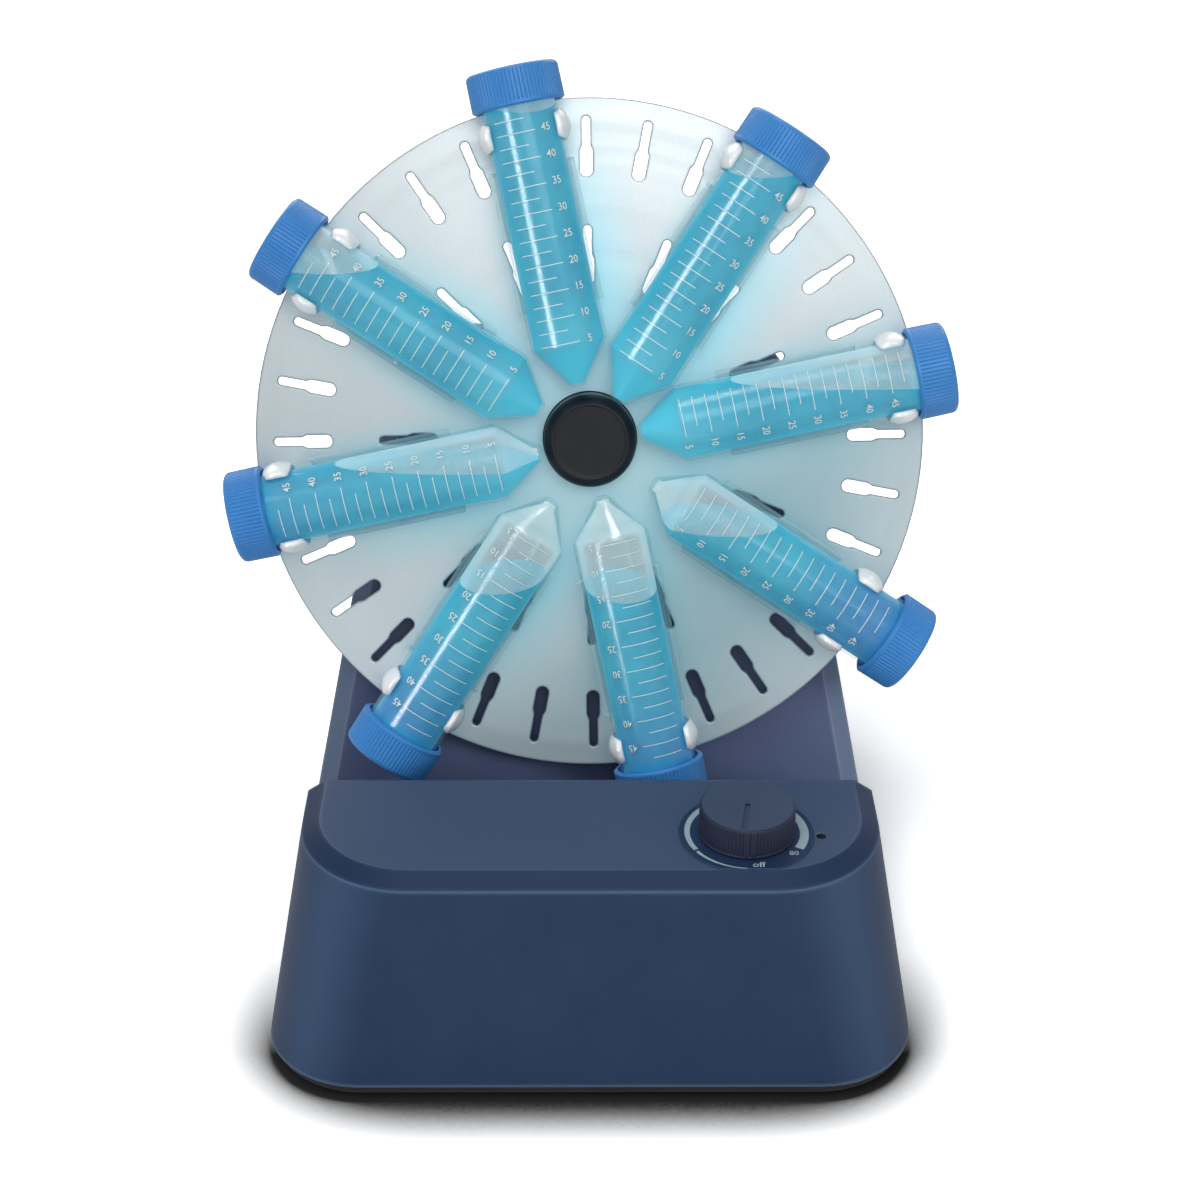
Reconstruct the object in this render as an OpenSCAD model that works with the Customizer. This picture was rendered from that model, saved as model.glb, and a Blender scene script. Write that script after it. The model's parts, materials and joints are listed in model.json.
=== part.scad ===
// Bench tube rotator: a tilted slotted disc carries eight conical 50 ml tubes in
// snap-in clips and is turned by a geared motor in a drafted, bevelled housing.
// Millimetres, +Z up, standing on z = 0, with the middle of its box at x = y = 0.

/* [Base] */
// Width of the housing at its foot
base_w = 234; // [220:1:260]
// Depth of the housing from front to back
base_depth = 240; // [236:1:260]
// Height of the control deck above the table
deck_h = 86.3; // [80:0.1:92]
// Room between the turning caps and the back of the control deck
well_gap = 5.87; // [5:0.01:8]
// Height of the floor of the rotor well above the table
well_floor = 36; // [30:0.5:38]
// Draft of the front wall in degrees
front_draft = 9.3; // [5:0.1:11]
// Draft of the side walls in degrees
side_draft = 10.1; // [6:0.1:12]
// Width of the bevel round the deck and the upright
bevel_w = 6.7; // [4:0.1:8]
// Drop of the bevel
bevel_drop = 4.5; // [3:0.1:6]
// Corner radius of the deck in plan
deck_corner_r = 34; // [26:1:38]
// Corner radius of the foot in plan
foot_corner_r = 35; // [28:1:42]
// How much narrower each side of the housing is at its back
rear_taper = 7; // [5:0.5:9]
// Wall thickness of the mouldings
wall = 3; // [2.4:0.1:4]
// Height of the black bottom tray that shows under the housing
tray_h = 6; // [5:0.1:8]
// Inset of the bottom tray from the housing
tray_inset = 2; // [1:0.1:3]
// Diameter of a rubber foot
foot_d = 16; // [12:1:20]
// Height of a rubber foot below the tray
foot_h = 1.2; // [1:0.1:2]

/* [Upright] */
// How far each side of the upright stands in from the housing's foot, at the height of the rotor axis
upright_in = 36.2; // [33:0.1:42]
// Widening of each side of the upright per millimetre downwards
upright_flare = 0.19; // [0.12:0.01:0.2]
// Height of the upright above the rotor axis, along its face
upright_top = 41; // [34:0.5:48]
// Radius of the top corners of the upright
upright_corner_r = 26; // [16:1:30]
// Distance of the upright's face behind the front of the disc
upright_gap = 12; // [10:0.1:13]
// Distance of the rotor axis from the back of the housing, at the front of the disc
axis_back = 74; // [74:0.5:80]
// Thickness of the rear cover
cover_t = 3; // [2.4:0.1:4]
// Number of vent slots in the rear cover
vent_count = 9; // [5:2:11]

/* [Rotor] */
// Height of the centre of the disc's front face above the table
axis_z = 182; // [180:0.5:190]
// Backward tilt of the disc in degrees
tilt = 20; // [18:0.5:22]
// Width of the plain rim outside the slots
rim_w = 6.8; // [5:0.1:8]
// Thickness of the disc
disc_t = 2; // [1.5:0.1:2.5]
// Angle at which the disc stands at rest, in degrees clockwise
rest_turn = -0.8; // [-5:0.1:5]
// Number of slots in the outer ring
outer_slots = 32; // [32:8:32]
// Number of slots in the inner ring
inner_slots = 16; // [8:8:16]
// How far an outer slot starts inside the outer end of the clips' jaws
slot_back = 23.2; // [22.5:0.1:24]
// Inner end of an inner slot, from the axis
inner_slot_r = 57.8; // [54:0.1:62]
// Length of a slot
slot_len = 22.2; // [20:0.1:23]
// Width of the entry part of a slot
slot_wide = 4.9; // [4.6:0.1:6]
// Width of the locking part of a slot
slot_narrow = 3.2; // [3:0.1:3.8]
// Length of the entry part of a slot
slot_entry = 9.6; // [9:0.1:10.4]
// Length of the taper between the two parts of a slot
slot_taper = 2; // [1:0.1:3]

/* [Tubes] */
// Outer diameter of a tube
tube_od = 28.8; // [28:0.1:29]
// Wall thickness of a tube
tube_wall = 1.1; // [0.9:0.1:1.4]
// Length of a tube from its tip to its rim
tube_len = 115.8; // [114:0.1:117]
// Length of the conical end
cone_len = 16; // [15:0.1:17]
// Diameter of the flat tip
tip_d = 6; // [5:0.1:6.4]
// Diameter of the threaded neck
neck_d = 30.4; // [30:0.1:30.8]
// Height of a tube's axis in front of the disc
tube_lift = 20; // [19.5:0.1:21]
// Distance of each tube's tip from the rotor axis, as the tubes stand in their clips
tip_r = [21.5, 18.3, 18.3, 27.5, 20.5, 25.6, 18.3, 21.5]; // [18.3:0.1:28]
// Farthest that a tube's tip may stand from the rotor axis
tip_out = 28; // [24:0.1:28]
// Liquid in each tube, as a share of what it holds
fill = [0.93, 0.90, 0.81, 0.84, 0.76, 0.76, 0.86, 0.88]; // [0.5:0.01:0.95]
// Outer diameter of a screw cap
cap_d = 34.4; // [34:0.1:35]
// Height of a screw cap
cap_h = 14; // [12:0.1:15]
// Thickness of a cap's top
cap_top = 1.4; // [1.2:0.1:2]
// Number of grip grooves round a cap
cap_grooves = 72; // [60:4:80]

/* [Clips] */
// Wall thickness of a clip's jaws
jaw_t = 2.5; // [2:0.1:3]
// Length of the jaws along the tube
jaw_len = 10.8; // [9:0.1:11]
// Gap between the jaws and the cap of a tube pushed fully in
jaw_gap = 0.6; // [0.5:0.1:1.5]
// Width of the mouth between the jaw tips
mouth_w = 24.6; // [20:0.2:25]
// Inner end of a clip's cradle, from the rotor axis
cradle_start_r = 50; // [48:0.5:58]
// Width of a clip's cradle
cradle_w = 32; // [30:0.1:32]
// Wall thickness of a clip's cradle
cradle_t = 1.6; // [1.4:0.1:2.2]

/* [Drive] */
// Diameter of the drive shaft
shaft_d = 8; // [7:0.5:9]
// Diameter of the threaded stud for the clamp knob
stud_d = 6; // [5:0.5:6.5]
// Length of the stud in front of the disc
stud_len = 12; // [10:0.5:13]
// Diameter of the hub flange behind the disc
flange_d = 50; // [44:1:56]
// Outer diameter of the shaft bearing
bearing_d = 22; // [20:0.5:24]
// Width of the shaft bearing
bearing_w = 7; // [6:0.5:8]
// Diameter of the gearbox
gearbox_d = 37; // [34:0.5:38]
// Length of the gearbox
gearbox_len = 20; // [18:0.5:21]
// Diameter of the motor
motor_d = 34; // [30:0.5:35]
// Length of the motor
motor_len = 20; // [16:0.5:21]
// Diameter of the clamp knob
clamp_d = 35; // [32:0.1:35.4]
// Height of the clamp knob's face in front of the disc
clamp_h = 16.2; // [15:0.1:16.4]
// Diameter of the clamp knob's flat face
clamp_face_d = 27.2; // [24:0.1:30]
// Diameter of the washer under the clamp knob
washer_d = 36; // [34:0.1:36.2]
// Thickness of the washer under the clamp knob
washer_t = 1.2; // [1:0.1:1.6]

/* [Controls] */
// Distance of the speed knob's axis from the deck's right edge
knob_side = 41.8; // [40:0.1:48]
// Distance of the speed knob behind the deck's front edge, as a share of the deck's depth
knob_share = 0.398; // [0.38:0.001:0.41]
// Width of the printed band round the speed knob, as a share of the dial plate's radius
dial_band = 0.2874; // [0.26:0.0001:0.3]
// Height of the speed knob's top above the deck
knob_h = 12; // [9:0.1:13]
// Number of grip grooves round the speed knob
knob_grooves = 84; // [60:2:84]
// Turn of the knob's pointer from the front, towards the left
pointer_turn = 8.7; // [0:0.1:12]
// Thickness of the dial plate
dial_t = 1; // [0.8:0.1:1.2]
// How far the dial plate stands above the deck
dial_proud = 0.3; // [0.2:0.1:0.5]
// Distance of the status light outside the dial plate
led_gap = 2.3; // [2.1:0.1:4]
// Diameter of the status light
led_d = 3.4; // [3:0.1:4]
// Diameter of the potentiometer's shaft
pot_shaft_d = 6; // [5:0.5:6.5]
// Height of the potentiometer's body
pot_h = 8.5; // [7:0.5:10]
// Width of the potentiometer's body
pot_w = 17; // [14:0.5:18]
// Thickness of the circuit board
board_t = 1.6; // [1.2:0.1:2]
// Position of the power inlet to the right of the middle
jack_x = 70; // [50:1:80]

/* [Hidden] */
$fn = 96;
hull_fn = 48;
e = 0.01;
fit = 0.02;        // two still pieces, one inside the other
run = 0.05;        // a shaft in its bore
apart = 0.3;       // pieces that move past each other
over = 1;          // how far a cutter reaches past the face it opens
tube_count = 8;
y_front = -base_depth / 2;
y_back = base_depth / 2;
disc_y = y_back - axis_back;
rim_z = deck_h - bevel_drop;
deck_front = y_front + (rim_z - tray_h) * tan(front_draft) + bevel_w;
cap_start = tube_len + apart + cap_top - cap_h;
cap_end = cap_start + cap_h;
rotor_reach = (tip_out + cap_end) * sin(tilt) + (tube_lift + cap_d / 2) * cos(tilt);
deck_depth = disc_y - rotor_reach - well_gap - deck_front;
well_y = deck_front + deck_depth;
rim_half = base_w / 2 - (rim_z - tray_h) * tan(side_draft);
deck_half = rim_half - bevel_w;
upright_w = base_w - 2 * upright_in;
flare_a = atan(upright_flare);
face_h = -upright_gap;
wall_back = face_h - wall;
upright_foot_v = -(axis_z - well_floor) / cos(tilt) - 40;
upright_depth = axis_back / cos(tilt) + axis_z * tan(tilt);
tube_r = tube_od / 2;
bore_r = tube_r - tube_wall;
neck_start = cap_start + 1.8;
plug_len = 3;
plug_start = cap_end - cap_top - plug_len;
liquid_gap = 0.1;
liquid_end = plug_start - apart;
saddle_r = tube_r + apart;
jaw_r = saddle_r + jaw_t;
jaw_end_r = min(tip_r) + cap_start - jaw_gap;
jaw_start_r = jaw_end_r - jaw_len;
jaw_crown = 0.75 * jaw_len;
outer_slot_r = jaw_end_r - slot_back;
outer_slot_end = outer_slot_r + slot_len;
disc_d = 2 * (outer_slot_end + rim_w);
lock_r = outer_slot_r + slot_entry + slot_taper;
foot_bottom_r = lock_r + 1.6;
foot_top_r = outer_slot_end - slot_narrow / 2;
hook_t = 1.5;
knob_back = knob_share * deck_depth;
dial_r = knob_back + 1.6;
knob_d = 2 * dial_r * (1 - dial_band);
pot_x = deck_half - knob_side;
pot_y = deck_front + knob_back;
led_x = pot_x + dial_r + led_gap;
led_y = pot_y - 1.9;
board_top = deck_h - wall - pot_h;
board_x0 = pot_x - 27;
board_x1 = led_x + 4.5;
board_y0 = pot_y - 15;
board_y1 = well_y - wall - 6;
dial_z = deck_h + dial_proud;
dial_cut = pot_y - deck_front - 0.6;
knob_z0 = dial_z + apart;
knob_z1 = deck_h + knob_h;
pot_nut_t = 1.8;
screw_d = 3;
screw_head_d = 5.6;
screw_head_h = 1.9;
bearing_front = face_h - 1;
bearing_back = bearing_front - bearing_w;
bracket_front = bearing_back - 1;
bracket_t = 3;
bracket_back = bracket_front - bracket_t;
bracket_w = gearbox_d + 30;
bracket_l = gearbox_d + 22;
bracket_post = [bracket_w / 2 - 6, bracket_l / 2 - 6];
gearbox_back = bracket_back - gearbox_len;
motor_back = gearbox_back - motor_len;
sleeve_d = shaft_d + 6;
flange_t = 3;
spigot_d = shaft_d + 4;
jack_z = tray_h + 12;
jack_w = 11;
jack_len = 13;
jack_bore = 6;

// ---------- rules shared by the pieces ----------

// Half width of the upright at height v above the axis, along its face.
function upright_half(v) = upright_w / 2 - upright_flare * v;

// Height along the upright's face of a point of the model.
function face_v(y, z) = (y - disc_y) * sin(tilt) + (z - axis_z) * cos(tilt);

// Angle of tube k, clockwise from the top.
function tube_angle(k) = rest_turn + (k - 1.25) * 360 / tube_count;

// Inside radius of a tube at distance t from its tip.
function bore_at(t) =
    t >= cone_len ? bore_r : tip_d / 2 - tube_wall + (bore_r - tip_d / 2 + tube_wall) * t / cone_len;

// Rise of a tube's axis per millimetre of its length.
function tube_rise(k) = cos(tube_angle(k)) * cos(tilt);

// Height of the axis of tube k at distance t from its tip.
function axis_height(k, t) = axis_z + tube_lift * sin(tilt) + (tip_r[k - 1] + t) * tube_rise(k);

// Part of a round slice of radius r that lies below a chord at signed height d.
function below(r, d) =
    d >= r ? PI * r * r
    : d <= -r ? 0
    : r * r * acos(-d / r) * PI / 180 + d * sqrt(r * r - d * d);

// Liquid in tube k when its level is at height z, in cubic millimetres.
function held(k, z, n = 60) =
    let (dt = (liquid_end - tube_wall) / n, lean = sqrt(1 - pow(tube_rise(k), 2)))
    _sum([for (i = [0 : n - 1])
        let (t = tube_wall + (i + 0.5) * dt)
        below(bore_at(t), (z - axis_height(k, t)) / lean) * dt]);
function _sum(v, i = 0, s = 0) = i == len(v) ? s : _sum(v, i + 1, s + v[i]);

// Level at which tube k holds the wanted fill, found by halving.
function fill_level(k, lo = 0, hi = 2 * axis_z, n = 20) =
    n == 0 ? (lo + hi) / 2
    : let (mid = (lo + hi) / 2)
      held(k, mid) < fill[k - 1] * held(k, 2 * axis_z)
      ? fill_level(k, mid, hi, n - 1) : fill_level(k, lo, mid, n - 1);

// Places children in the rotor's frame: x to the right, y up the disc, z out of its face.
module in_rotor() {
    translate([0, disc_y, axis_z])
        rotate([90 - tilt, 0, 0])
            children();
}

// Places children along tube k, z running from its tip to its cap.
module at_tube(k) {
    in_rotor()
        rotate([0, 0, -tube_angle(k)])
            translate([0, tip_r[k - 1], tube_lift])
                rotate([-90, 0, 0])
                    children();
}

// Places children on the disc at the angle of tube k, y pointing outwards.
module at_clip(k) {
    in_rotor()
        rotate([0, 0, -tube_angle(k)])
            children();
}

// A thin plate of the housing's outline, the seed of its drafted hulls. It tapers behind the deck.
module outline_plate(z, half, y0, y1, r, back_r = 12) {
    for (s = [-1, 1]) {
        translate([s * (half - r), y0 + r, z])
            cylinder(h = e, r = r, $fn = hull_fn);
        translate([s * (half - back_r), well_y + 4, z])
            cylinder(h = e, r = back_r, $fn = hull_fn);
        translate([s * (half - rear_taper - back_r), y1 - back_r, z])
            cylinder(h = e, r = back_r, $fn = hull_fn);
    }
}

// The drafted block of the housing, up to the rim under the bevel, shrunk by inset.
module drafted_block(inset = 0) {
    hull() {
        outline_plate(tray_h - (inset > 0 ? over : 0), base_w / 2 - inset, y_front + inset,
            y_back - inset, foot_corner_r - inset, 12 - inset / 2);
        outline_plate(rim_z - e, rim_half - inset,
            y_front + (rim_z - tray_h) * tan(front_draft) + inset,
            y_back - inset, deck_corner_r + bevel_w - inset, 12 - inset / 2);
    }
}

// The bevelled top of the control box, shrunk by inset.
module bevelled_top(inset = 0) {
    hull() {
        outline_plate(rim_z - e, rim_half - inset,
            y_front + (rim_z - tray_h) * tan(front_draft) + inset,
            y_back - inset, deck_corner_r + bevel_w - inset);
        outline_plate(deck_h - e - inset, deck_half - inset, deck_front + inset,
            y_back - inset, deck_corner_r - inset);
    }
}

// The control box and the low rear body, seen from the side, with the well behind the deck.
module side_cut(inset = 0) {
    rotate([90, 0, 90])
        translate([0, 0, -base_w])
            linear_extrude(2 * base_w)
                polygon([
                    [y_front - over, 0], [y_back + over, 0], [y_back + over, well_floor - inset],
                    [well_y - inset, well_floor - inset], [well_y - inset, deck_h + over],
                    [y_front - over, deck_h + over]
                ]);
}

module housing_form(inset = 0) {
    intersection() {
        union() {
            drafted_block(inset);
            bevelled_top(inset);
        }
        side_cut(inset);
    }
}

// Points of an arc about c from angle a0 to a1.
function arc_points(c, r, a0, a1, n = 10) = [
    for (i = [0 : n]) let (a = a0 + (a1 - a0) * i / n) c + r * [cos(a), sin(a)]
];

// The upright's face, shrunk by inset, with round top corners, as a ring of points.
function upright_ring(inset) =
    let (
        r = upright_corner_r - inset,
        cv = upright_top - upright_corner_r,
        cx = upright_half(cv) - upright_corner_r / cos(flare_a),
        foot = upright_half(upright_foot_v) - inset / cos(flare_a)
    )
    concat(
        [[-foot, upright_foot_v], [foot, upright_foot_v]],
        arc_points([cx, cv], r, flare_a, 90),
        arc_points([-cx, cv], r, 90, 180 - flare_a)
    );

// A solid through rings of equally many points, each at its own height, from low to high.
module loft(rings, heights) {
    n = len(rings[0]);
    last = len(rings) - 1;
    polyhedron(
        points = [for (i = [0 : last]) for (p = rings[i]) [p[0], p[1], heights[i]]],
        faces = concat(
            [[for (j = [0 : n - 1]) j]],
            [for (i = [0 : last - 1]) for (j = [0 : n - 1])
                let (k = (j + 1) % n)
                [i * n + j, (i + 1) * n + j, (i + 1) * n + k, i * n + k]],
            [[for (j = [n - 1 : -1 : 0]) last * n + j]]
        )
    );
}

// The upright as a solid bevelled wedge shrunk by inset, cut off at the well floor and at y1.
module upright_form(inset, y1) {
    front = face_h - inset;
    intersection() {
        in_rotor()
            loft(
                [upright_ring(inset), upright_ring(inset), upright_ring(bevel_w + inset)],
                [front - upright_depth, front - bevel_drop, front]
            );
        translate([-base_w, disc_y - axis_z, well_floor - (inset > 0 ? over : 0)])
            cube([2 * base_w, y1 - disc_y + axis_z, 2 * axis_z]);
    }
}

// Where the cover screws stand.
function cover_spot(s, z) = [s * (upright_half(face_v(y_back, z)) - wall - 4.6), z];
cover_spots = [
    for (s = [-1, 1]) for (z = [well_floor + 14, axis_z - 12]) cover_spot(s, z)
];
upright_spots = [
    for (s = [-1, 1]) for (y = [disc_y - 4, y_back - 26])
        [s * (upright_half(face_v(y, well_floor)) - wall - 5.2), y]
];
tray_spots = [
    for (s = [-1, 1]) for (p = [[deck_half - 5.5, well_y - 22.3, deck_h - 2],
        [base_w / 2 - 17, well_y + 30, well_floor - 2],
        [base_w / 2 - rear_taper - 16, y_back - 13, well_floor - 2]])
        [s * p[0], p[1], p[2]]
];
board_spots = [
    for (x = [board_x0 + 4, board_x1 - 4]) for (y = [board_y0 + 4, board_y1 - 4]) [x, y]
];
foot_spots = [
    for (s = [-1, 1]) for (y = [y_front + 34, y_back - 24]) [s * (base_w / 2 - 34), y]
];

// ---------- housing ----------

module base_housing() {
    color("#2e4163")
    difference() {
        union() {
            difference() {
                housing_form();
                housing_form(wall);
            }
            for (p = tray_spots)
                translate([p[0], p[1], tray_h])
                    cylinder(h = p[2] - tray_h, d = 9);
            for (p = board_spots)
                translate([p[0], p[1], board_top])
                    cylinder(h = deck_h - 1 - board_top, d = 6);
            for (x = [-1, 1] * base_w / 5)
                translate([x - 1, well_y - wall + over, well_floor - 9])
                    cube([2, y_back - well_y, 8]);
        }
        for (p = tray_spots)
            translate([p[0], p[1], tray_h - over])
                cylinder(h = 14, d = screw_d + 2 * fit);
        for (p = board_spots)
            translate([p[0], p[1], board_top - over])
                cylinder(h = 8, d = screw_d + 2 * fit);
        for (p = upright_spots)
            translate([p[0], p[1], well_floor - wall - over])
                cylinder(h = wall + 2 * over, d = screw_d + 2 * fit);
        dial_pocket();
        translate([pot_x, pot_y, board_top])
            cylinder(h = pot_h + wall + over, d = pot_shaft_d + 1.4);
        translate([led_x, led_y, board_top])
            cylinder(h = pot_h + wall + over, d = led_d + 2 * 0.15);
        translate([jack_x, y_back - wall - over, jack_z])
            rotate([-90, 0, 0])
                cylinder(h = wall + 2 * over, d = jack_w - 2 + 2 * fit);
    }
}

module dial_shape(gap = 0) {
    intersection() {
        circle(r = dial_r + gap);
        translate([-dial_r - over, -dial_cut - gap])
            square([2 * (dial_r + over), dial_cut + dial_r + 2 * over]);
        rotate(45)
            translate([-dial_r - gap, -dial_r - gap - 2.2])
                square([2 * (dial_r + gap + over), 2 * (dial_r + gap) + 4]);
        rotate(-45)
            translate([-dial_r - gap - 2, -dial_r - gap - 2.2])
                square([2 * (dial_r + gap + over), 2 * (dial_r + gap) + 4]);
    }
}

module dial_pocket() {
    translate([pot_x, pot_y, dial_z - dial_t])
        linear_extrude(dial_t + over)
            dial_shape(0.1);
}

module dial_plate() {
    color("#34415f")
    translate([pot_x, pot_y, dial_z - dial_t])
        linear_extrude(dial_t)
            difference() {
                dial_shape();
                circle(d = pot_shaft_d + 1.4);
            }
}

module base_tray() {
    color("#16171b")
    difference() {
        hull() {
            outline_plate(foot_h, base_w / 2 - tray_inset - 1, y_front + tray_inset + 1,
                y_back - tray_inset - 1, foot_corner_r - tray_inset - 1);
            outline_plate(foot_h + 1, base_w / 2 - tray_inset, y_front + tray_inset,
                y_back - tray_inset, foot_corner_r - tray_inset);
            outline_plate(tray_h - e, base_w / 2 - tray_inset, y_front + tray_inset,
                y_back - tray_inset, foot_corner_r - tray_inset);
        }
        for (p = tray_spots)
            translate([p[0], p[1], 0]) {
                cylinder(h = tray_h + over, d = screw_d + 2 * fit);
                cylinder(h = foot_h + screw_head_h, d = screw_head_d + 2 * fit);
            }
        for (p = foot_spots)
            translate([p[0], p[1], 0])
                cylinder(h = foot_h + 1.5, d = foot_d + 2 * fit);
        for (y = [well_y + 12 : 9 : y_back - 40])
            translate([-22, y, 0])
                cube([44, 3, tray_h + over]);
    }
}

module rubber_feet() {
    color("#222326")
    for (p = foot_spots)
        translate([p[0], p[1], 0])
            rotate_extrude()
                polygon([
                    [0, 0], [foot_d / 2 - 0.8, 0], [foot_d / 2, 0.8],
                    [foot_d / 2, foot_h + 1.5], [0, foot_h + 1.5]
                ]);
}

module screw(len, head_d = screw_head_d, head_h = screw_head_h) {
    difference() {
        union() {
            cylinder(h = len, d = screw_d);
            cylinder(h = head_h - fit, d = head_d);
        }
        translate([0, 0, -over])
            cylinder(h = over + head_h * 0.6, d = 2.6, $fn = 6);
    }
}

module tray_screws() {
    color("silver")
    for (p = tray_spots)
        translate([p[0], p[1], foot_h + fit])
            screw(tray_h + 8 - foot_h);
}

module upright_shell() {
    y1 = y_back - cover_t;
    color("#333f61")
    difference() {
        union() {
            difference() {
                upright_form(0, y1);
                upright_form(wall, y1 + over);
            }
            upright_bosses();
        }
        in_rotor() {
            translate([0, 0, wall_back - over])
                cylinder(h = wall + 2 * over, d = bearing_d - 3);
            translate([0, 0, bearing_back - over])
                cylinder(h = bearing_w + over, d = bearing_d + 2 * fit);
            for (s = [-1, 1], t = [-1, 1])
                translate([s * bracket_post[0], t * bracket_post[1], bracket_front - over])
                    cylinder(h = 7 + over, d = screw_d + 2 * fit);
        }
        for (p = cover_spots)
            translate([p[0], y1 - 12, p[1]])
                rotate([-90, 0, 0])
                    cylinder(h = 12 + over, d = screw_d + 2 * fit);
        for (p = upright_spots)
            translate([p[0], p[1], well_floor - over])
                cylinder(h = 11 + over, d = screw_d + 2 * fit);
    }
}

// Posts for the motor bracket, the bearing seat and the cover's screw posts.
module upright_bosses() {
    in_rotor() {
        for (s = [-1, 1], t = [-1, 1])
            translate([s * bracket_post[0], t * bracket_post[1], bracket_front])
                cylinder(h = wall_back - bracket_front + 1, d = 9);
        translate([0, 0, bearing_back])
            cylinder(h = wall_back - bearing_back + 1, d = bearing_d + 6);
    }
    for (p = cover_spots)
        translate([p[0], y_back - cover_t - 14, p[1]])
            rotate([-90, 0, 0])
                cylinder(h = 14, d = 10);
    for (p = upright_spots)
        translate([p[0], p[1], well_floor])
            cylinder(h = 14, d = 10);
}

module upright_screws() {
    color("silver")
    for (p = upright_spots)
        translate([p[0], p[1], well_floor - wall - screw_head_h])
            screw(screw_head_h + wall + 10);
}

module rear_cover() {
    color("#2f3a5a")
    difference() {
        intersection() {
            upright_form(0, y_back);
            translate([-base_w, y_back - cover_t, 0])
                cube([2 * base_w, cover_t, 2 * axis_z]);
        }
        for (p = cover_spots)
            translate([p[0], y_back - cover_t - over, p[1]])
                rotate([-90, 0, 0]) {
                    cylinder(h = cover_t + 2 * over, d = screw_d + 2 * fit);
                    translate([0, 0, over + cover_t - screw_head_h - fit])
                        cylinder(h = screw_head_h + over, d = screw_head_d + 2 * fit);
                }
        for (i = [0 : vent_count - 1])
            translate([(i - (vent_count - 1) / 2) * 9, y_back - cover_t - over, well_floor + 34])
                vent();
    }
}

// One upright vent slot with round ends.
module vent(w = 3, l = 34) {
    rotate([-90, 0, 0])
        linear_extrude(cover_t + 2 * over) {
            translate([-w / 2, -l / 2])
                square([w, l]);
            for (s = [-1, 1])
                translate([0, s * l / 2])
                    circle(d = w);
        }
}

module cover_screws() {
    color("silver")
    for (p = cover_spots)
        translate([p[0], y_back - fit, p[1]])
            rotate([90, 0, 0])
                screw(cover_t + 10);
}

// ---------- controls ----------

module speed_knob() {
    r = knob_d / 2;
    h = knob_z1 - knob_z0;
    color("#35304a")
    translate([pot_x, pot_y, knob_z0])
        difference() {
            rotate_extrude()
                polygon([
                    [0, 0], [r - 0.3, 0], [r, 0.3], [r - 0.2, h - 1], [r - 0.5, h - 0.4],
                    [r - 1.1, h], [0, h]
                ]);
            for (i = [0 : knob_grooves - 1])
                rotate(i * 360 / knob_grooves)
                    translate([r + 0.17, 0, 0.9])
                        cylinder(h = h, r = 0.74, $fn = 4);
            translate([0, 0, -over])
                cylinder(h = over + pot_nut_t + 1.4, d = pot_shaft_d + 8);
            intersection() {
                translate([0, 0, -over])
                    cylinder(h = over + h - 2, d = pot_shaft_d + 2 * fit);
                translate([-pot_shaft_d, -pot_shaft_d, -over])
                    cube([2 * pot_shaft_d, 1.75 * pot_shaft_d + fit, h + over]);
            }
            rotate(-pointer_turn)
                translate([0, 0, h - 0.9]) {
                    translate([-0.9, 2.2 - r, 0])
                        cube([1.8, r - 2.2, 0.9 + over]);
                    for (y = [0, 2.2 - r])
                        translate([0, y, 0])
                            cylinder(h = 0.9 + over, d = 1.8);
                }
        }
}

module pot_shaft() {
    z0 = board_top + 2;
    z1 = knob_z1 - 2 - apart;
    color("silver")
    difference() {
        translate([pot_x, pot_y, z0])
            cylinder(h = z1 - z0, d = pot_shaft_d);
        translate([pot_x - pot_shaft_d, pot_y + pot_shaft_d * 0.75 - pot_shaft_d / 2, knob_z0 + 3])
            cube([2 * pot_shaft_d, pot_shaft_d, z1]);
    }
}

module pot_body() {
    color("#3f5f4a")
    difference() {
        union() {
            translate([pot_x - pot_w / 2, pot_y - pot_w / 2, board_top])
                cube([pot_w, pot_w, pot_h]);
            translate([pot_x, pot_y, board_top])
                cylinder(h = dial_z + pot_nut_t + 0.6 - board_top, d = pot_shaft_d + 1.4 - 2 * fit);
        }
        translate([pot_x, pot_y, board_top + 2 - apart])
            cylinder(h = pot_h + knob_h + 2 * wall, d = pot_shaft_d + 2 * run);
    }
}

module pot_nut() {
    color("silver")
    translate([pot_x, pot_y, dial_z])
        difference() {
            cylinder(h = pot_nut_t, d = pot_shaft_d + 5, $fn = 6);
            translate([0, 0, -over])
                cylinder(h = pot_nut_t + 2 * over, d = pot_shaft_d + 1.4 + 2 * fit);
        }
}

module status_light() {
    r = led_d / 2;
    color("#8fd0a0")
    translate([led_x, led_y, board_top])
        rotate_extrude()
            polygon([
                [0, 0], [r + 0.9, 0], [r + 0.9, 1.2], [r, 1.2],
                [r, deck_h - board_top - 0.3], [r * 0.8, deck_h - board_top + 0.1],
                [r * 0.4, deck_h - board_top + 0.3], [0, deck_h - board_top + 0.35]
            ]);
}

module control_board() {
    color("#1f5a3a")
    difference() {
        union() {
            translate([board_x0, board_y0, board_top - board_t])
                cube([board_x1 - board_x0, board_y1 - board_y0, board_t]);
            translate([board_x0 + 12, board_y0 + 12, board_top - board_t - 3])
                cube([14, 10, 3.2]);
            translate([board_x0 + 32, board_y0 + 8, board_top - board_t - 6])
                cylinder(h = 6.2, d = 8);
            translate([board_x1 - 20, board_y1 - 12, board_top - board_t - 7])
                cube([12, 7, 7.2]);
        }
        for (p = board_spots)
            translate([p[0], p[1], board_top - board_t - over])
                cylinder(h = board_t + 2 * over, d = screw_d + 2 * fit);
    }
}

module board_screws() {
    color("silver")
    for (p = board_spots)
        translate([p[0], p[1], board_top - board_t - screw_head_h])
            screw(screw_head_h + board_t + 6);
}

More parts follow.
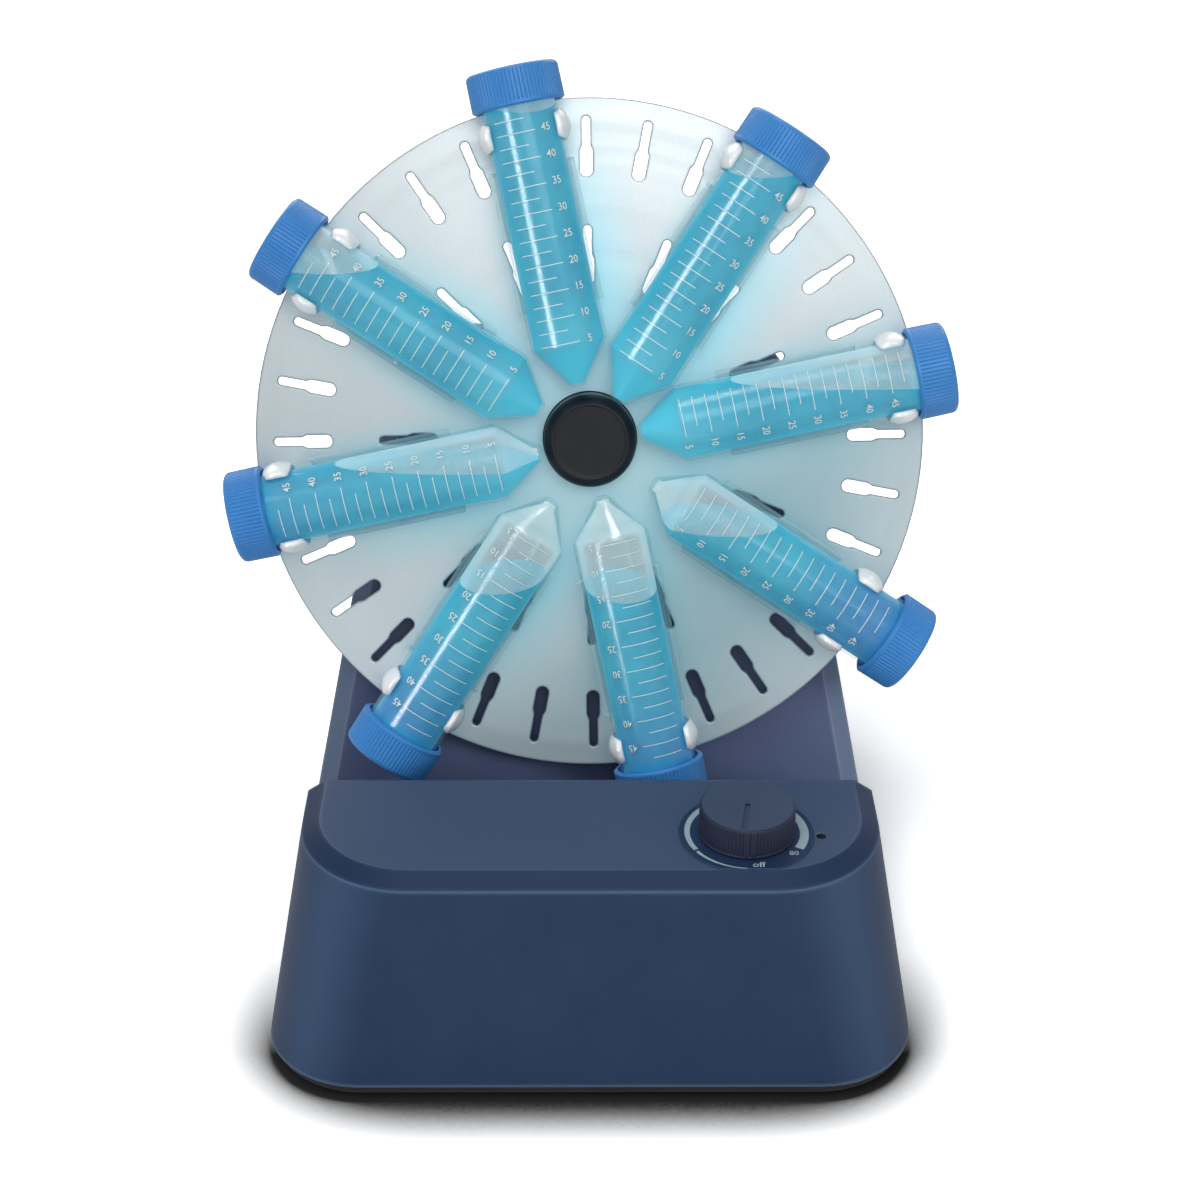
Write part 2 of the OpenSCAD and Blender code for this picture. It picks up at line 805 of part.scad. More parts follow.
module power_inlet() {
    color("#1b1c20")
    translate([jack_x, y_back, jack_z])
        rotate([-90, 0, 0])
            difference() {
                union() {
                    translate([-jack_w / 2, -jack_w / 2, -wall - jack_len])
                        cube([jack_w, jack_w, jack_len]);
                    translate([0, 0, -wall - over])
                        cylinder(h = wall + over - 0.4, d = jack_w - 2);
                }
                difference() {
                    translate([0, 0, -jack_len + 2])
                        cylinder(h = jack_len + over, d = jack_bore);
                    translate([0, 0, -jack_len])
                        cylinder(h = jack_len - 2, d = 2);
                }
            }
}

// ---------- drive ----------

module motor_bracket() {
    color("silver")
    in_rotor()
        difference() {
            translate([-bracket_w / 2, -bracket_l / 2, bracket_back])
                cube([bracket_w, bracket_l, bracket_t]);
            translate([0, 0, bracket_back - over])
                cylinder(h = bracket_t + 2 * over, d = shaft_d + 6 + 2 * fit);
            for (s = [-1, 1], t = [-1, 1])
                translate([s * bracket_post[0], t * bracket_post[1], bracket_back - over])
                    cylinder(h = bracket_t + 2 * over, d = screw_d + 2 * fit);
            for (a = [45 : 90 : 315])
                rotate(a)
                    translate([gearbox_d / 2 - 4, 0, bracket_back - over]) {
                        cylinder(h = bracket_t + 2 * over, d = screw_d + 2 * fit);
                        translate([0, 0, over + bracket_t - screw_head_h - fit])
                            cylinder(h = screw_head_h + over, d = screw_head_d + 2 * fit);
                    }
        }
}

module bracket_screws() {
    color("silver")
    in_rotor()
        for (s = [-1, 1], t = [-1, 1])
            translate([s * bracket_post[0], t * bracket_post[1], bracket_back - screw_head_h])
                screw(screw_head_h + bracket_t + 6);
}

module gearbox_screws() {
    color("silver")
    in_rotor()
        for (a = [45 : 90 : 315])
            rotate(a)
                translate([gearbox_d / 2 - 4, 0, bracket_front - fit])
                    rotate([180, 0, 0])
                        screw(bracket_t + 6);
}

module gearbox() {
    color("#a8abb0")
    in_rotor()
        difference() {
            union() {
                translate([0, 0, gearbox_back])
                    cylinder(h = gearbox_len, d = gearbox_d);
                translate([0, 0, bracket_back - over])
                    cylinder(h = bracket_t + over - 0.2, d = shaft_d + 6);
            }
            translate([0, 0, bracket_back - gearbox_len + 4 - apart])
                cylinder(h = gearbox_len + bracket_t, d = shaft_d + 2 * run);
            for (a = [45 : 90 : 315])
                rotate(a)
                    translate([gearbox_d / 2 - 4, 0, bracket_back - 7])
                        cylinder(h = 7 + over, d = screw_d + 2 * fit);
            difference() {
                translate([0, 0, gearbox_back + 4])
                    cylinder(h = 0.8, d = gearbox_d + over);
                translate([0, 0, gearbox_back + 4 - over])
                    cylinder(h = 3, d = gearbox_d - 0.8);
            }
        }
}

module motor() {
    color("#8c9096")
    in_rotor()
        difference() {
            union() {
                translate([0, 0, motor_back + 1.6])
                    cylinder(h = motor_len - 1.6, d = motor_d);
                translate([0, 0, motor_back])
                    cylinder(h = 2, d = 12);
                for (s = [-1, 1])
                    translate([s * 10 - 2, -0.4, motor_back - 2])
                        cube([4, 0.8, 4]);
            }
            for (a = [0 : 60 : 300])
                rotate(a + 30)
                    translate([11, 0, motor_back + 1])
                        cylinder(h = 1.4, d = 3);
        }
}

module shaft_bearing() {
    r0 = shaft_d / 2 + run;
    r1 = bearing_d / 2;
    m = (r0 + r1) / 2;
    color("#c9ccd2")
    in_rotor()
        translate([0, 0, bearing_back])
            rotate_extrude()
                polygon([
                    [r0, 0], [m - 1.4, 0], [m - 1.4, 0.7], [m + 1.4, 0.7], [m + 1.4, 0], [r1, 0],
                    [r1, bearing_w], [m + 1.4, bearing_w], [m + 1.4, bearing_w - 0.7],
                    [m - 1.4, bearing_w - 0.7], [m - 1.4, bearing_w], [r0, bearing_w]
                ]);
}

module drive_shaft() {
    color("silver")
    in_rotor() {
        translate([0, 0, gearbox_back + 4])
            cylinder(h = -gearbox_back - 4 - disc_t + 0.4, d = shaft_d);
        cylinder(h = stud_len - 0.8, d = stud_d);
        translate([0, 0, -disc_t])
            cylinder(h = disc_t + 0.4, d = stud_d);
        translate([0, 0, stud_len - 0.8])
            cylinder(h = 0.8, d1 = stud_d, d2 = stud_d - 1.4);
    }
}

module hub_flange() {
    back = bearing_front + apart;
    color("#9da1a8")
    in_rotor()
        difference() {
            rotate_extrude()
                polygon([
                    [shaft_d / 2 + fit, back], [sleeve_d / 2, back],
                    [sleeve_d / 2, -disc_t - flange_t - 1], [sleeve_d / 2 + 1, -disc_t - flange_t],
                    [flange_d / 2 - 1, -disc_t - flange_t], [flange_d / 2, -disc_t - flange_t + 1],
                    [flange_d / 2, -disc_t], [spigot_d / 2, -disc_t], [spigot_d / 2, -0.2],
                    [stud_d / 2 + fit, -0.2], [stud_d / 2 + fit, -disc_t + 0.4 + fit],
                    [shaft_d / 2 + fit, -disc_t + 0.4 + fit]
                ]);
            translate([0, 0, (back - disc_t - flange_t) / 2])
                rotate([0, 90, 0])
                    cylinder(h = sleeve_d, d = 2.5);
        }
}

// ---------- rotor ----------

// A bottle-shaped slot that starts at radius 0 and points outwards.
module slot_shape() {
    w = slot_wide / 2;
    n = slot_narrow / 2;
    translate([0, w])
        circle(r = w);
    translate([0, slot_len - n])
        circle(r = n);
    polygon([
        [-w, w], [w, w], [w, slot_entry], [n, slot_entry + slot_taper], [n, slot_len - n],
        [-n, slot_len - n], [-n, slot_entry + slot_taper], [-w, slot_entry]
    ]);
}

module rotor_disc() {
    color("#b9c4c8")
    in_rotor()
        translate([0, 0, -disc_t])
            linear_extrude(disc_t)
                difference() {
                    circle(d = disc_d);
                    circle(d = spigot_d + 2 * fit);
                    for (i = [0 : outer_slots - 1])
                        rotate(-rest_turn - i * 360 / outer_slots)
                            translate([0, outer_slot_r])
                                slot_shape();
                    for (i = [0 : inner_slots - 1])
                        rotate(-rest_turn - i * 360 / inner_slots)
                            translate([0, inner_slot_r])
                                slot_shape();
                }
}

module clamp_washer() {
    color("#2a2b30")
    in_rotor()
        difference() {
            rotate_extrude()
                polygon([
                    [0, 0], [washer_d / 2, 0], [washer_d / 2, washer_t - 0.4],
                    [washer_d / 2 - 0.4, washer_t], [0, washer_t]
                ]);
            translate([0, 0, -over])
                cylinder(h = washer_t + 2 * over, d = stud_d + 2 * apart);
        }
}

module clamp_knob() {
    r = clamp_d / 2;
    f = clamp_face_d / 2;
    side = clamp_h - 4.7;
    color("#1d1d22")
    in_rotor()
        difference() {
            rotate_extrude()
                polygon([
                    [0, washer_t], [r - 0.8, washer_t], [r, washer_t + 0.8],
                    [r, side], [r - 0.25, side + 1.4], [r - 1.1, side + 2.9],
                    [r - 2.4, side + 4.1], [f + 0.4, clamp_h], [f, clamp_h - 0.2],
                    [f - 0.6, clamp_h - 0.5], [0, clamp_h - 0.5]
                ]);
            translate([0, 0, washer_t - over])
                cylinder(h = stud_len + 0.3, d = stud_d + 2 * run);
            difference() {
                translate([0, 0, washer_t - over])
                    cylinder(h = 7, r = r - 3);
                cylinder(h = 12, d = stud_d + 7);
            }
        }
}

// ---------- clips ----------

// Cross-section of a ring segment about a tube's axis, open towards the front by 2 * a degrees.
module open_ring(r0, r1, a) {
    far = 3 * r1;
    difference() {
        circle(r = r1);
        circle(r = r0);
        polygon([[0, 0], [far * sin(a), far * cos(a)], [0, 3 * far], [-far * sin(a), far * cos(a)]]);
    }
}

// One clip: a foot that locks in a slot, a cradle under the tube, and two snap jaws.
module tube_clip(k) {
    a = asin(mouth_w / 2 / saddle_r);
    mid = (saddle_r + jaw_r) / 2;
    cradle_end = jaw_start_r + 1;
    cradle_a = asin(cradle_w / 2 / (saddle_r + cradle_t));
    color("#f2f4f6")
    at_clip(k) {
        // jaws with lips, crowned along the tube, their tongues rounded
        intersection() {
            translate([0, jaw_end_r, tube_lift])
                rotate([90, 0, 0])
                    linear_extrude(jaw_len) {
                        open_ring(saddle_r, jaw_r, a);
                        for (s = [-1, 1])
                            translate([s * mid * sin(a), mid * cos(a)])
                                circle(d = jaw_t + 0.5);
                    }
            rotate([90, 0, 90])
                translate([0, 0, -tube_od])
                    linear_extrude(2 * tube_od) {
                        translate([jaw_start_r, 0])
                            square([jaw_len, tube_lift + mid * cos(a) - jaw_len / 2 + 1.5]);
                        translate([jaw_end_r - jaw_len / 2, tube_lift + mid * cos(a) - jaw_len / 2 + 1.5])
                            circle(d = jaw_len);
                    }
            translate([0, jaw_end_r - jaw_len / 2, tube_lift])
                rotate([90, 0, 0])
                    rotate_extrude() {
                        translate([jaw_r - jaw_crown, 0])
                            circle(r = jaw_crown);
                        translate([0, -jaw_len / 2])
                            square([jaw_r - jaw_crown, jaw_len]);
                    }
        }
        // cradle, its sides stopping short of the jaws
        intersection() {
            translate([0, cradle_end, tube_lift])
                rotate([90, 0, 0])
                    linear_extrude(cradle_end - cradle_start_r)
                        open_ring(saddle_r, saddle_r + cradle_t, 180 - cradle_a);
            rotate([90, 0, 90])
                translate([0, 0, -tube_od])
                    linear_extrude(2 * tube_od)
                        polygon([
                            [cradle_start_r, 0], [cradle_start_r + 1.5, tube_lift],
                            [jaw_start_r - 7, tube_lift], [jaw_start_r - 6, tube_lift * 0.3],
                            [cradle_end, tube_lift * 0.3], [cradle_end, 0]
                        ]);
        }
        // saddle blocks between the tube and the disc
        difference() {
            for (y = [[jaw_start_r, jaw_len], [cradle_start_r + 16, 10]])
                translate([-6, y[0], 0])
                    cube([12, y[1], tube_lift - saddle_r + 1.6]);
            translate([0, cradle_start_r - over, tube_lift])
                rotate([-90, 0, 0])
                    cylinder(h = tube_len, r = saddle_r + cradle_t / 2);
        }
        // keel along the cradle
        translate([-1, cradle_start_r + 8, 0.6])
            cube([2, jaw_start_r - cradle_start_r, tube_lift - saddle_r - 0.6 - cradle_t / 2]);
        // neck and hook in the slot
        translate([-slot_narrow / 2 + 0.15, foot_bottom_r, -disc_t - fit])
            cube([slot_narrow - 0.3, foot_top_r - foot_bottom_r - 0.2, disc_t + 1]);
        translate([-slot_wide / 2 + 0.2, foot_bottom_r, -disc_t - fit - hook_t])
            cube([slot_wide - 0.4, foot_top_r - foot_bottom_r - 0.2, hook_t]);
    }
}

// ---------- tubes ----------

module tube(k) {
    tr = tip_d / 2;
    color("#dff1f7", 0.4)
    at_tube(k)
        rotate_extrude()
            polygon([
                [0, 0], [tr - 0.6, 0], [tr, 0.5], [tube_r - 0.3, cone_len - 0.3],
                [tube_r, cone_len + 0.8],
                [tube_r, neck_start - 1],
                [neck_d / 2, neck_start], [neck_d / 2, tube_len - 0.5],
                [neck_d / 2 - 0.5, tube_len], [bore_r, tube_len], [bore_r, cone_len],
                [bore_at(tube_wall), tube_wall], [0, tube_wall]
            ]);
}

module liquid(k) {
    r = bore_r - liquid_gap;
    t0 = tube_wall + liquid_gap;
    color("#38b6d8", 0.8)
    intersection() {
        at_tube(k)
            rotate_extrude()
                polygon([
                    [0, t0], [bore_at(t0) - liquid_gap, t0], [r, cone_len],
                    [r, liquid_end], [0, liquid_end]
                ]);
        translate([-disc_d, -disc_d, 0])
            cube([2 * disc_d, 2 * disc_d, fill_level(k)]);
    }
}

module cap(k) {
    r = cap_d / 2;
    color("#2f6fc4")
    at_tube(k)
        difference() {
            rotate_extrude()
                polygon([
                    [neck_d / 2 + apart, cap_start], [r - 0.9, cap_start], [r, cap_start + 0.7],
                    [r - 0.15, cap_end - 1.6], [r - 0.6, cap_end - 0.6], [r - 1.5, cap_end],
                    [0, cap_end], [0, cap_end - cap_top], [bore_r - apart - 1.2, cap_end - cap_top],
                    [bore_r - apart - 1.2, plug_start], [bore_r - apart - 0.4, plug_start],
                    [bore_r - apart, plug_start + 0.6], [bore_r - apart, cap_end - cap_top],
                    [neck_d / 2 + apart, cap_end - cap_top]
                ]);
            for (i = [0 : cap_grooves - 1])
                rotate((i + 0.5) * 360 / cap_grooves)
                    translate([r + 0.17, 0, cap_start + 1.6])
                        cylinder(h = cap_h, r = 0.62, $fn = 4);
        }
}

// ---------- output ----------

base_housing();
base_tray();
rubber_feet();
tray_screws();
upright_shell();
upright_screws();
rear_cover();
cover_screws();
dial_plate();
speed_knob();
pot_shaft();
pot_body();
pot_nut();
status_light();
control_board();
board_screws();
power_inlet();
motor_bracket();
bracket_screws();
gearbox_screws();
gearbox();
motor();
shaft_bearing();
drive_shaft();
hub_flange();
rotor_disc();
clamp_washer();
clamp_knob();
tube_clip(1);  // clip_1
tube_clip(2);  // clip_2
tube_clip(3);  // clip_3
tube_clip(4);  // clip_4
tube_clip(5);  // clip_5
tube_clip(6);  // clip_6
tube_clip(7);  // clip_7
tube_clip(8);  // clip_8
tube(1);  // tube_1
tube(2);  // tube_2
tube(3);  // tube_3
tube(4);  // tube_4
tube(5);  // tube_5
tube(6);  // tube_6
tube(7);  // tube_7
tube(8);  // tube_8
liquid(1);  // liquid_1
liquid(2);  // liquid_2
liquid(3);  // liquid_3
liquid(4);  // liquid_4
liquid(5);  // liquid_5
liquid(6);  // liquid_6
liquid(7);  // liquid_7
liquid(8);  // liquid_8
cap(1);  // cap_1
cap(2);  // cap_2
cap(3);  // cap_3
cap(4);  // cap_4
cap(5);  // cap_5
cap(6);  // cap_6
cap(7);  // cap_7
cap(8);  // cap_8
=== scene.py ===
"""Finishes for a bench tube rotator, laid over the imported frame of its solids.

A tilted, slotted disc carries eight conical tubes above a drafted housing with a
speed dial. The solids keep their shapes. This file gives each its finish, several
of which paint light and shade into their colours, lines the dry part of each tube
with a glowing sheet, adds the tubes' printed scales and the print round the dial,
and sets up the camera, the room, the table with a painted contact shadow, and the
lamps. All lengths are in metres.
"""

import json
import math

import bmesh
import bpy
from mathutils import Matrix, Vector

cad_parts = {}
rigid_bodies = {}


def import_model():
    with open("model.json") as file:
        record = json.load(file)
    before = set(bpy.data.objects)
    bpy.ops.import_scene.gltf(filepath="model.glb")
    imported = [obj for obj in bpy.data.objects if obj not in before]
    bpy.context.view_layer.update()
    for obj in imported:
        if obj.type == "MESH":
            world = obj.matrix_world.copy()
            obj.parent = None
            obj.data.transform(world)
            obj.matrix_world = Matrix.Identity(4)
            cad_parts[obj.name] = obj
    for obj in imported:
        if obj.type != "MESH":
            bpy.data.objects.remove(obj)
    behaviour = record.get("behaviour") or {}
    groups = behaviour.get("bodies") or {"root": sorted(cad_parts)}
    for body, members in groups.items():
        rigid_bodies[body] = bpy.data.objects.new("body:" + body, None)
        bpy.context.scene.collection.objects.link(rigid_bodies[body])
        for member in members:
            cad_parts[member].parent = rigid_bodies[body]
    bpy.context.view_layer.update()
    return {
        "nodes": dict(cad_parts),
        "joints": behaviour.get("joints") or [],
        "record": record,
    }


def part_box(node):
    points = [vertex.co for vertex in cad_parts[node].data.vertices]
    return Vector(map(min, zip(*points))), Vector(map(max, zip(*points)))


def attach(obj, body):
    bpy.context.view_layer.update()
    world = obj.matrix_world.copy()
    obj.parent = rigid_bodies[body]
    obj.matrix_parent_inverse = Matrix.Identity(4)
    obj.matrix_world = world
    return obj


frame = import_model()

MM = 0.001
JOINTS = {joint["name"]: joint for joint in frame["joints"]}
TUBE_COUNT = 8

# The rotor: its centre, the direction that the disc faces, and up along the disc.
HUB = Vector(JOINTS["rotor_spin"]["pos_m"])
FACING = Vector(JOINTS["rotor_spin"]["axis"]).normalized()
ACROSS = Vector((1, 0, 0))
UP_DISC = FACING.cross(ACROSS)


# ---------------------------------------------------------------- node helpers


def place(tree, kind, wires=None, **settings):
    """Adds a shader node. Each wire is a plain value or another node's output."""
    node = tree.nodes.new("ShaderNode" + kind)
    for name, value in settings.items():
        setattr(node, name, value)
    for socket, value in (wires or {}).items():
        if isinstance(value, bpy.types.NodeSocket):
            tree.links.new(value, node.inputs[socket])
        else:
            node.inputs[socket].default_value = value
    return node


def compute(tree, operation, first, second=0.0):
    """The output of one Math node."""
    return place(tree, "Math", {0: first, 1: second}, operation=operation).outputs[0]


def product(tree, first, *others):
    """All the values multiplied with each other."""
    for other in others:
        first = compute(tree, "MULTIPLY", first, other)
    return first


def compute_vector(tree, operation, first, second):
    """The output of one Vector Math node, which is a number for a dot product."""
    node = place(tree, "VectorMath", {0: first, 1: second}, operation=operation)
    return node.outputs["Value" if operation == "DOT_PRODUCT" else "Vector"]


def parts_of(tree, vector):
    """The x, y and z of a vector."""
    return tuple(place(tree, "SeparateXYZ", {0: vector}).outputs)


def spread(tree, value, low, high, to_low=0.0, to_high=1.0):
    """A value mapped from one span to another, held at the ends."""
    wires = {
        "Value": value,
        "From Min": low,
        "From Max": high,
        "To Min": to_low,
        "To Max": to_high,
    }
    return place(tree, "MapRange", wires, clamp=True).outputs["Result"]


def between(tree, share, at_none, at_full):
    """A number that goes from one value to another as a share goes from 0 to 1."""
    return spread(tree, share, 0.0, 1.0, at_none, at_full)


def blend_colour(tree, share, first, second):
    """The first colour where share is 0 and the second where it is 1."""
    node = place(tree, "Mix", data_type="RGBA", clamp_factor=True)
    for index, value in ((0, share), (6, first), (7, second)):
        if isinstance(value, bpy.types.NodeSocket):
            tree.links.new(value, node.inputs[index])
        else:
            node.inputs[index].default_value = (*value, 1.0)
    return node.outputs[2]


def noise(tree, where, scale, detail=2.0, distortion=0.0):
    """A noise with scale lumps to the metre."""
    wires = {
        "Vector": where, "Scale": scale, "Detail": detail, "Distortion": distortion
    }
    return place(tree, "TexNoise", wires).outputs["Fac"]


def turned_away(tree, blend):
    """0 on a face seen face on, and 1 on one seen edge on."""
    return place(tree, "LayerWeight", {"Blend": blend}).outputs["Facing"]


def effect(name, inputs, outputs):
    """An empty shader node group, with its input and output sockets.

    An input is a number with the value given, or a vector where the value is None.
    """
    tree = bpy.data.node_groups.new(name, "ShaderNodeTree")
    for label, value in inputs.items():
        kind = "NodeSocketVector" if value is None else "NodeSocketFloat"
        socket = tree.interface.new_socket(label, in_out="INPUT", socket_type=kind)
        if value is not None:
            socket.default_value = value
    for label, kind in outputs.items():
        tree.interface.new_socket(
            label, in_out="OUTPUT", socket_type="NodeSocket" + kind
        )
    source = tree.nodes.new("NodeGroupInput").outputs
    result = tree.nodes.new("NodeGroupOutput").inputs
    return tree, source, result


def apply(tree, group, wires):
    """Places a node group in a material and returns its outputs."""
    return place(tree, "Group", wires, node_tree=group).outputs


# ------------------------------------------------------------- shared effects


def moulded_grain():
    """The fine grain of a moulded face, and its slow clouds of lighter tone."""
    tree, source, result = effect(
        "moulded_grain",
        {"Vector": None, "Grains": 1500.0, "Clouds": 45.0},
        {"Relief": "Float", "Tone": "Float"},
    )
    grain = noise(tree, source["Vector"], source["Grains"])
    cloud = noise(tree, source["Vector"], source["Clouds"], detail=3.0)
    even = product(tree, spread(tree, cloud, 0.3, 0.7), 0.65)
    fleck = product(tree, spread(tree, grain, 0.35, 0.65), 0.35)
    tree.links.new(grain, result["Relief"])
    tree.links.new(compute(tree, "ADD", even, fleck), result["Tone"])
    return tree


def rounded_edges():
    """Normals rounded over the sharp edges, and a mask of where those edges are."""
    tree, source, result = effect(
        "rounded_edges", {"Radius": 0.6 * MM}, {"Normal": "Vector", "Edge": "Float"}
    )
    bevel = place(tree, "Bevel", {"Radius": source["Radius"]}, samples=6)
    true_normal = place(tree, "NewGeometry").outputs["Normal"]
    agree = compute_vector(tree, "DOT_PRODUCT", bevel.outputs[0], true_normal)
    tree.links.new(bevel.outputs[0], result["Normal"])
    tree.links.new(spread(tree, agree, 0.90, 0.998, 1.0, 0.0), result["Edge"])
    return tree


def rotor_place():
    """Where a point is on the rotor: across, up the disc and out of it, its radius,
    and how far it is to the side of the nearest tube's middle line."""
    tree, source, result = effect(
        "rotor_place",
        {"Vector": None},
        {"Place": "Vector", "Radius": "Float", "Beside Tube": "Float"},
    )
    offset = compute_vector(tree, "SUBTRACT", source["Vector"], HUB)
    across, up, out = (
        compute_vector(tree, "DOT_PRODUCT", offset, axis)
        for axis in (ACROSS, UP_DISC, FACING)
    )
    spot = place(tree, "CombineXYZ", {0: across, 1: up, 2: out}).outputs[0]
    squares = (product(tree, across, across), product(tree, up, up))
    radius = compute(tree, "SQRT", compute(tree, "ADD", *squares))
    turn = compute(tree, "ARCTAN2", across, up)
    first = Vector(JOINTS["tube_slide_1"]["axis"])
    first_turn = math.atan2(first.dot(ACROSS), first.dot(UP_DISC))
    pitch = math.tau / TUBE_COUNT
    shifted = compute(tree, "SUBTRACT", turn, first_turn - pitch / 2)
    wires = {0: shifted, 1: pitch, 2: 0.0}
    wrapped = place(tree, "Math", wires, operation="WRAP").outputs[0]
    aside = compute(tree, "ABSOLUTE", compute(tree, "SUBTRACT", wrapped, pitch / 2))
    tree.links.new(spot, result["Place"])
    tree.links.new(radius, result["Radius"])
    tree.links.new(product(tree, aside, radius), result["Beside Tube"])
    return tree


def turned_metal():
    """Fine turning marks round the hub, and the faint bands that they leave."""
    tree, source, result = effect(
        "turned_metal",
        {"Vector": None, "Radius": 0.0},
        {"Relief": "Float", "Band": "Float"},
    )
    ring = place(tree, "CombineXYZ", {0: source["Radius"]}).outputs[0]
    marks = noise(tree, ring, 3600.0)
    band = noise(tree, ring, 160.0)
    speck = noise(tree, source["Vector"], 900.0)
    tree.links.new(compute(tree, "ADD", marks, speck), result["Relief"])
    tree.links.new(spread(tree, band, 0.35, 0.65), result["Band"])
    return tree


def handling_marks():
    """Faint smears that make a glossy face a little duller in places."""
    tree, source, result = effect(
        "handling_marks", {"Vector": None, "Size": 70.0}, {"Smear": "Float"}
    )
    smear = noise(tree, source["Vector"], source["Size"], distortion=1.2)
    tree.links.new(spread(tree, smear, 0.4, 0.7), result["Smear"])
    return tree


def looks_where():
    """Masks of the faces that look straight up, that slope like a bevel, look upwards
    or to the sides, or turn a corner between front and side."""
    names = ("Level", "Flat", "Slope", "Upwards", "Sideways", "Corner")
    tree, _, result = effect("looks_where", {}, dict.fromkeys(names, "Float"))
    normal = place(tree, "NewGeometry").outputs["Normal"]
    across, _, rise = parts_of(tree, normal)
    aside = compute(tree, "ABSOLUTE", across)
    masks = {
        "Level": spread(tree, rise, 0.88, 0.99),
        "Flat": spread(tree, rise, 0.997, 0.9995),
        "Slope": product(
            tree,
            spread(tree, rise, 0.35, 0.50),
            spread(tree, rise, 0.85, 0.93, 1.0, 0.0),
        ),
        "Upwards": spread(tree, rise, 0.60, 0.86),
        "Sideways": spread(tree, aside, 0.30, 0.60),
        "Corner": product(
            tree,
            spread(tree, aside, 0.12, 0.58),
            spread(tree, aside, 0.66, 0.93, 1.0, 0.0),
            spread(tree, rise, 0.35, 0.6, 1.0, 0.0),
        ),
    }
    for name, mask in masks.items():
        tree.links.new(mask, result[name])
    return tree


GRAIN = moulded_grain()
LOOKS_WHERE = looks_where()
EDGES = rounded_edges()
ROTOR = rotor_place()
TURNED = turned_metal()
SMEARS = handling_marks()


# ------------------------------------------------------------------ materials

# Colours of the disc. A pair goes from the darker tone to the lighter one. All but the
# satin are painted light and shade: the tubes' cyan light, a shaded pool, dark shade
# along the cut edges, and glows that stand in for light thrown back by the room, the
# housing and the tubes.
SATIN = (0.52, 0.565, 0.58), (0.60, 0.645, 0.655)
CYAN_LIT_SATIN = (0.26, 0.66, 0.76)
SHADED_SATIN = (0.33, 0.48, 0.52)
SHADED_CUT_EDGE = (0.10, 0.11, 0.12)
ROOM_BOUNCE = (0.05, 0.10, 0.13)
DECK_BOUNCE = (0.30, 0.42, 0.46)
DYED_BOUNCE = (0.02, 0.24, 0.30)

# How far up and left of a point on the disc the tube lies whose cyan light is painted
# on that point.
DYED_LIGHT_FROM = 5 * MM * UP_DISC - 7 * MM * ACROSS

# Colours of the tubes, their water and their clips.
TUBE_WALL = (0.36, 0.80, 0.90), (0.34, 0.78, 0.88)
CYAN_WATER = (0.012, 0.31, 0.48), (0.020, 0.43, 0.58)
# Painted shade: the deeper blue of the water in the lower tubes.
SHADED_BLUE_WATER = (0.010, 0.14, 0.45), (0.014, 0.27, 0.51)
TIP_WATER = (0.10, 0.60, 0.75)
SIDE_WATER = (0.05, 0.55, 0.70)
# Painted light: the paler flat top of the water.
LIT_TOP_WATER = (0.03, 0.47, 0.62)
# The milky colour of the dry wall, which also glows as painted light.
MILKY_GLOWING_WALL = (0.80, 0.93, 0.95), (0.90, 0.97, 0.98)
CLIP_WHITE = (0.88, 0.91, 0.92), (0.94, 0.96, 0.96)
# Cradle strips: their clear cyan, and the white of the painted highlight on faces that
# look upwards.
CLIP_STRIP = (0.55, 0.88, 0.94), (0.90, 0.97, 0.98)


def new_finish(name, constants):
    """A material with a Principled BSDF whose plain values are set on its sockets."""
    material = bpy.data.materials.new(name)
    material.use_nodes = True
    tree = material.node_tree
    tree.nodes.clear()
    shader = place(tree, "BsdfPrincipled", constants)
    place(tree, "OutputMaterial", {"Surface": shader.outputs[0]})
    where = place(tree, "TexCoord").outputs["Object"]
    return material, tree, shader.inputs, where


def finish_relief(tree, shader, height, normal, strength, depth):
    """Feeds a height and rounded edges into the shader's normal."""
    wires = {"Height": height, "Strength": strength, "Distance": depth}
    if normal is not None:
        wires["Normal"] = normal
    bump = place(tree, "Bump", wires)
    tree.links.new(bump.outputs[0], shader["Normal"])


def moulded(
    name,
    dark,
    light,
    edge,
    roughness=0.5,
    specular=0.3,
    grains=1500.0,
    clouds=45.0,
    relief=0.25,
    edge_radius=0.6 * MM,
    edge_share=0.5,
    tones=(),
):
    """A moulded or painted face: grain, slow clouds of tone and a painted highlight on
    its edges.

    The tones are pairs: a mask of looks_where, and the body's colour on those faces,
    which paints light or shade on faces by the way they look.
    """
    material, tree, shader, where = new_finish(name, {"Specular IOR Level": specular})
    grain = apply(tree, GRAIN, {"Vector": where, "Grains": grains, "Clouds": clouds})
    edges = apply(tree, EDGES, {"Radius": edge_radius})
    body = blend_colour(tree, grain["Tone"], dark, light)
    # Painted highlight: the edges are blended towards the lighter edge colour.
    edge_highlight = product(tree, edges["Edge"], edge_share)
    if tones:
        masks = apply(tree, LOOKS_WHERE, {})
        fleck = between(tree, grain["Tone"], 0.85, 1.0)
        # Painted light and shade by the way a face looks.
        for mask, tone in tones:
            body = blend_colour(tree, product(tree, masks[mask], fleck), body, tone)
        # The painted edge highlight is weaker where the edge looks up.
        rise = parts_of(tree, edges["Normal"])[2]
        edge_highlight = product(tree, edge_highlight, spread(tree, rise, 0.6, 0.8, 1.0, 0.25))
    tree.links.new(blend_colour(tree, edge_highlight, body, edge), shader["Base Color"])
    rough = between(tree, grain["Tone"], roughness - 0.05, roughness + 0.06)
    tree.links.new(rough, shader["Roughness"])
    finish_relief(tree, shader, grain["Relief"], edges["Normal"], relief, 0.05 * MM)
    return material


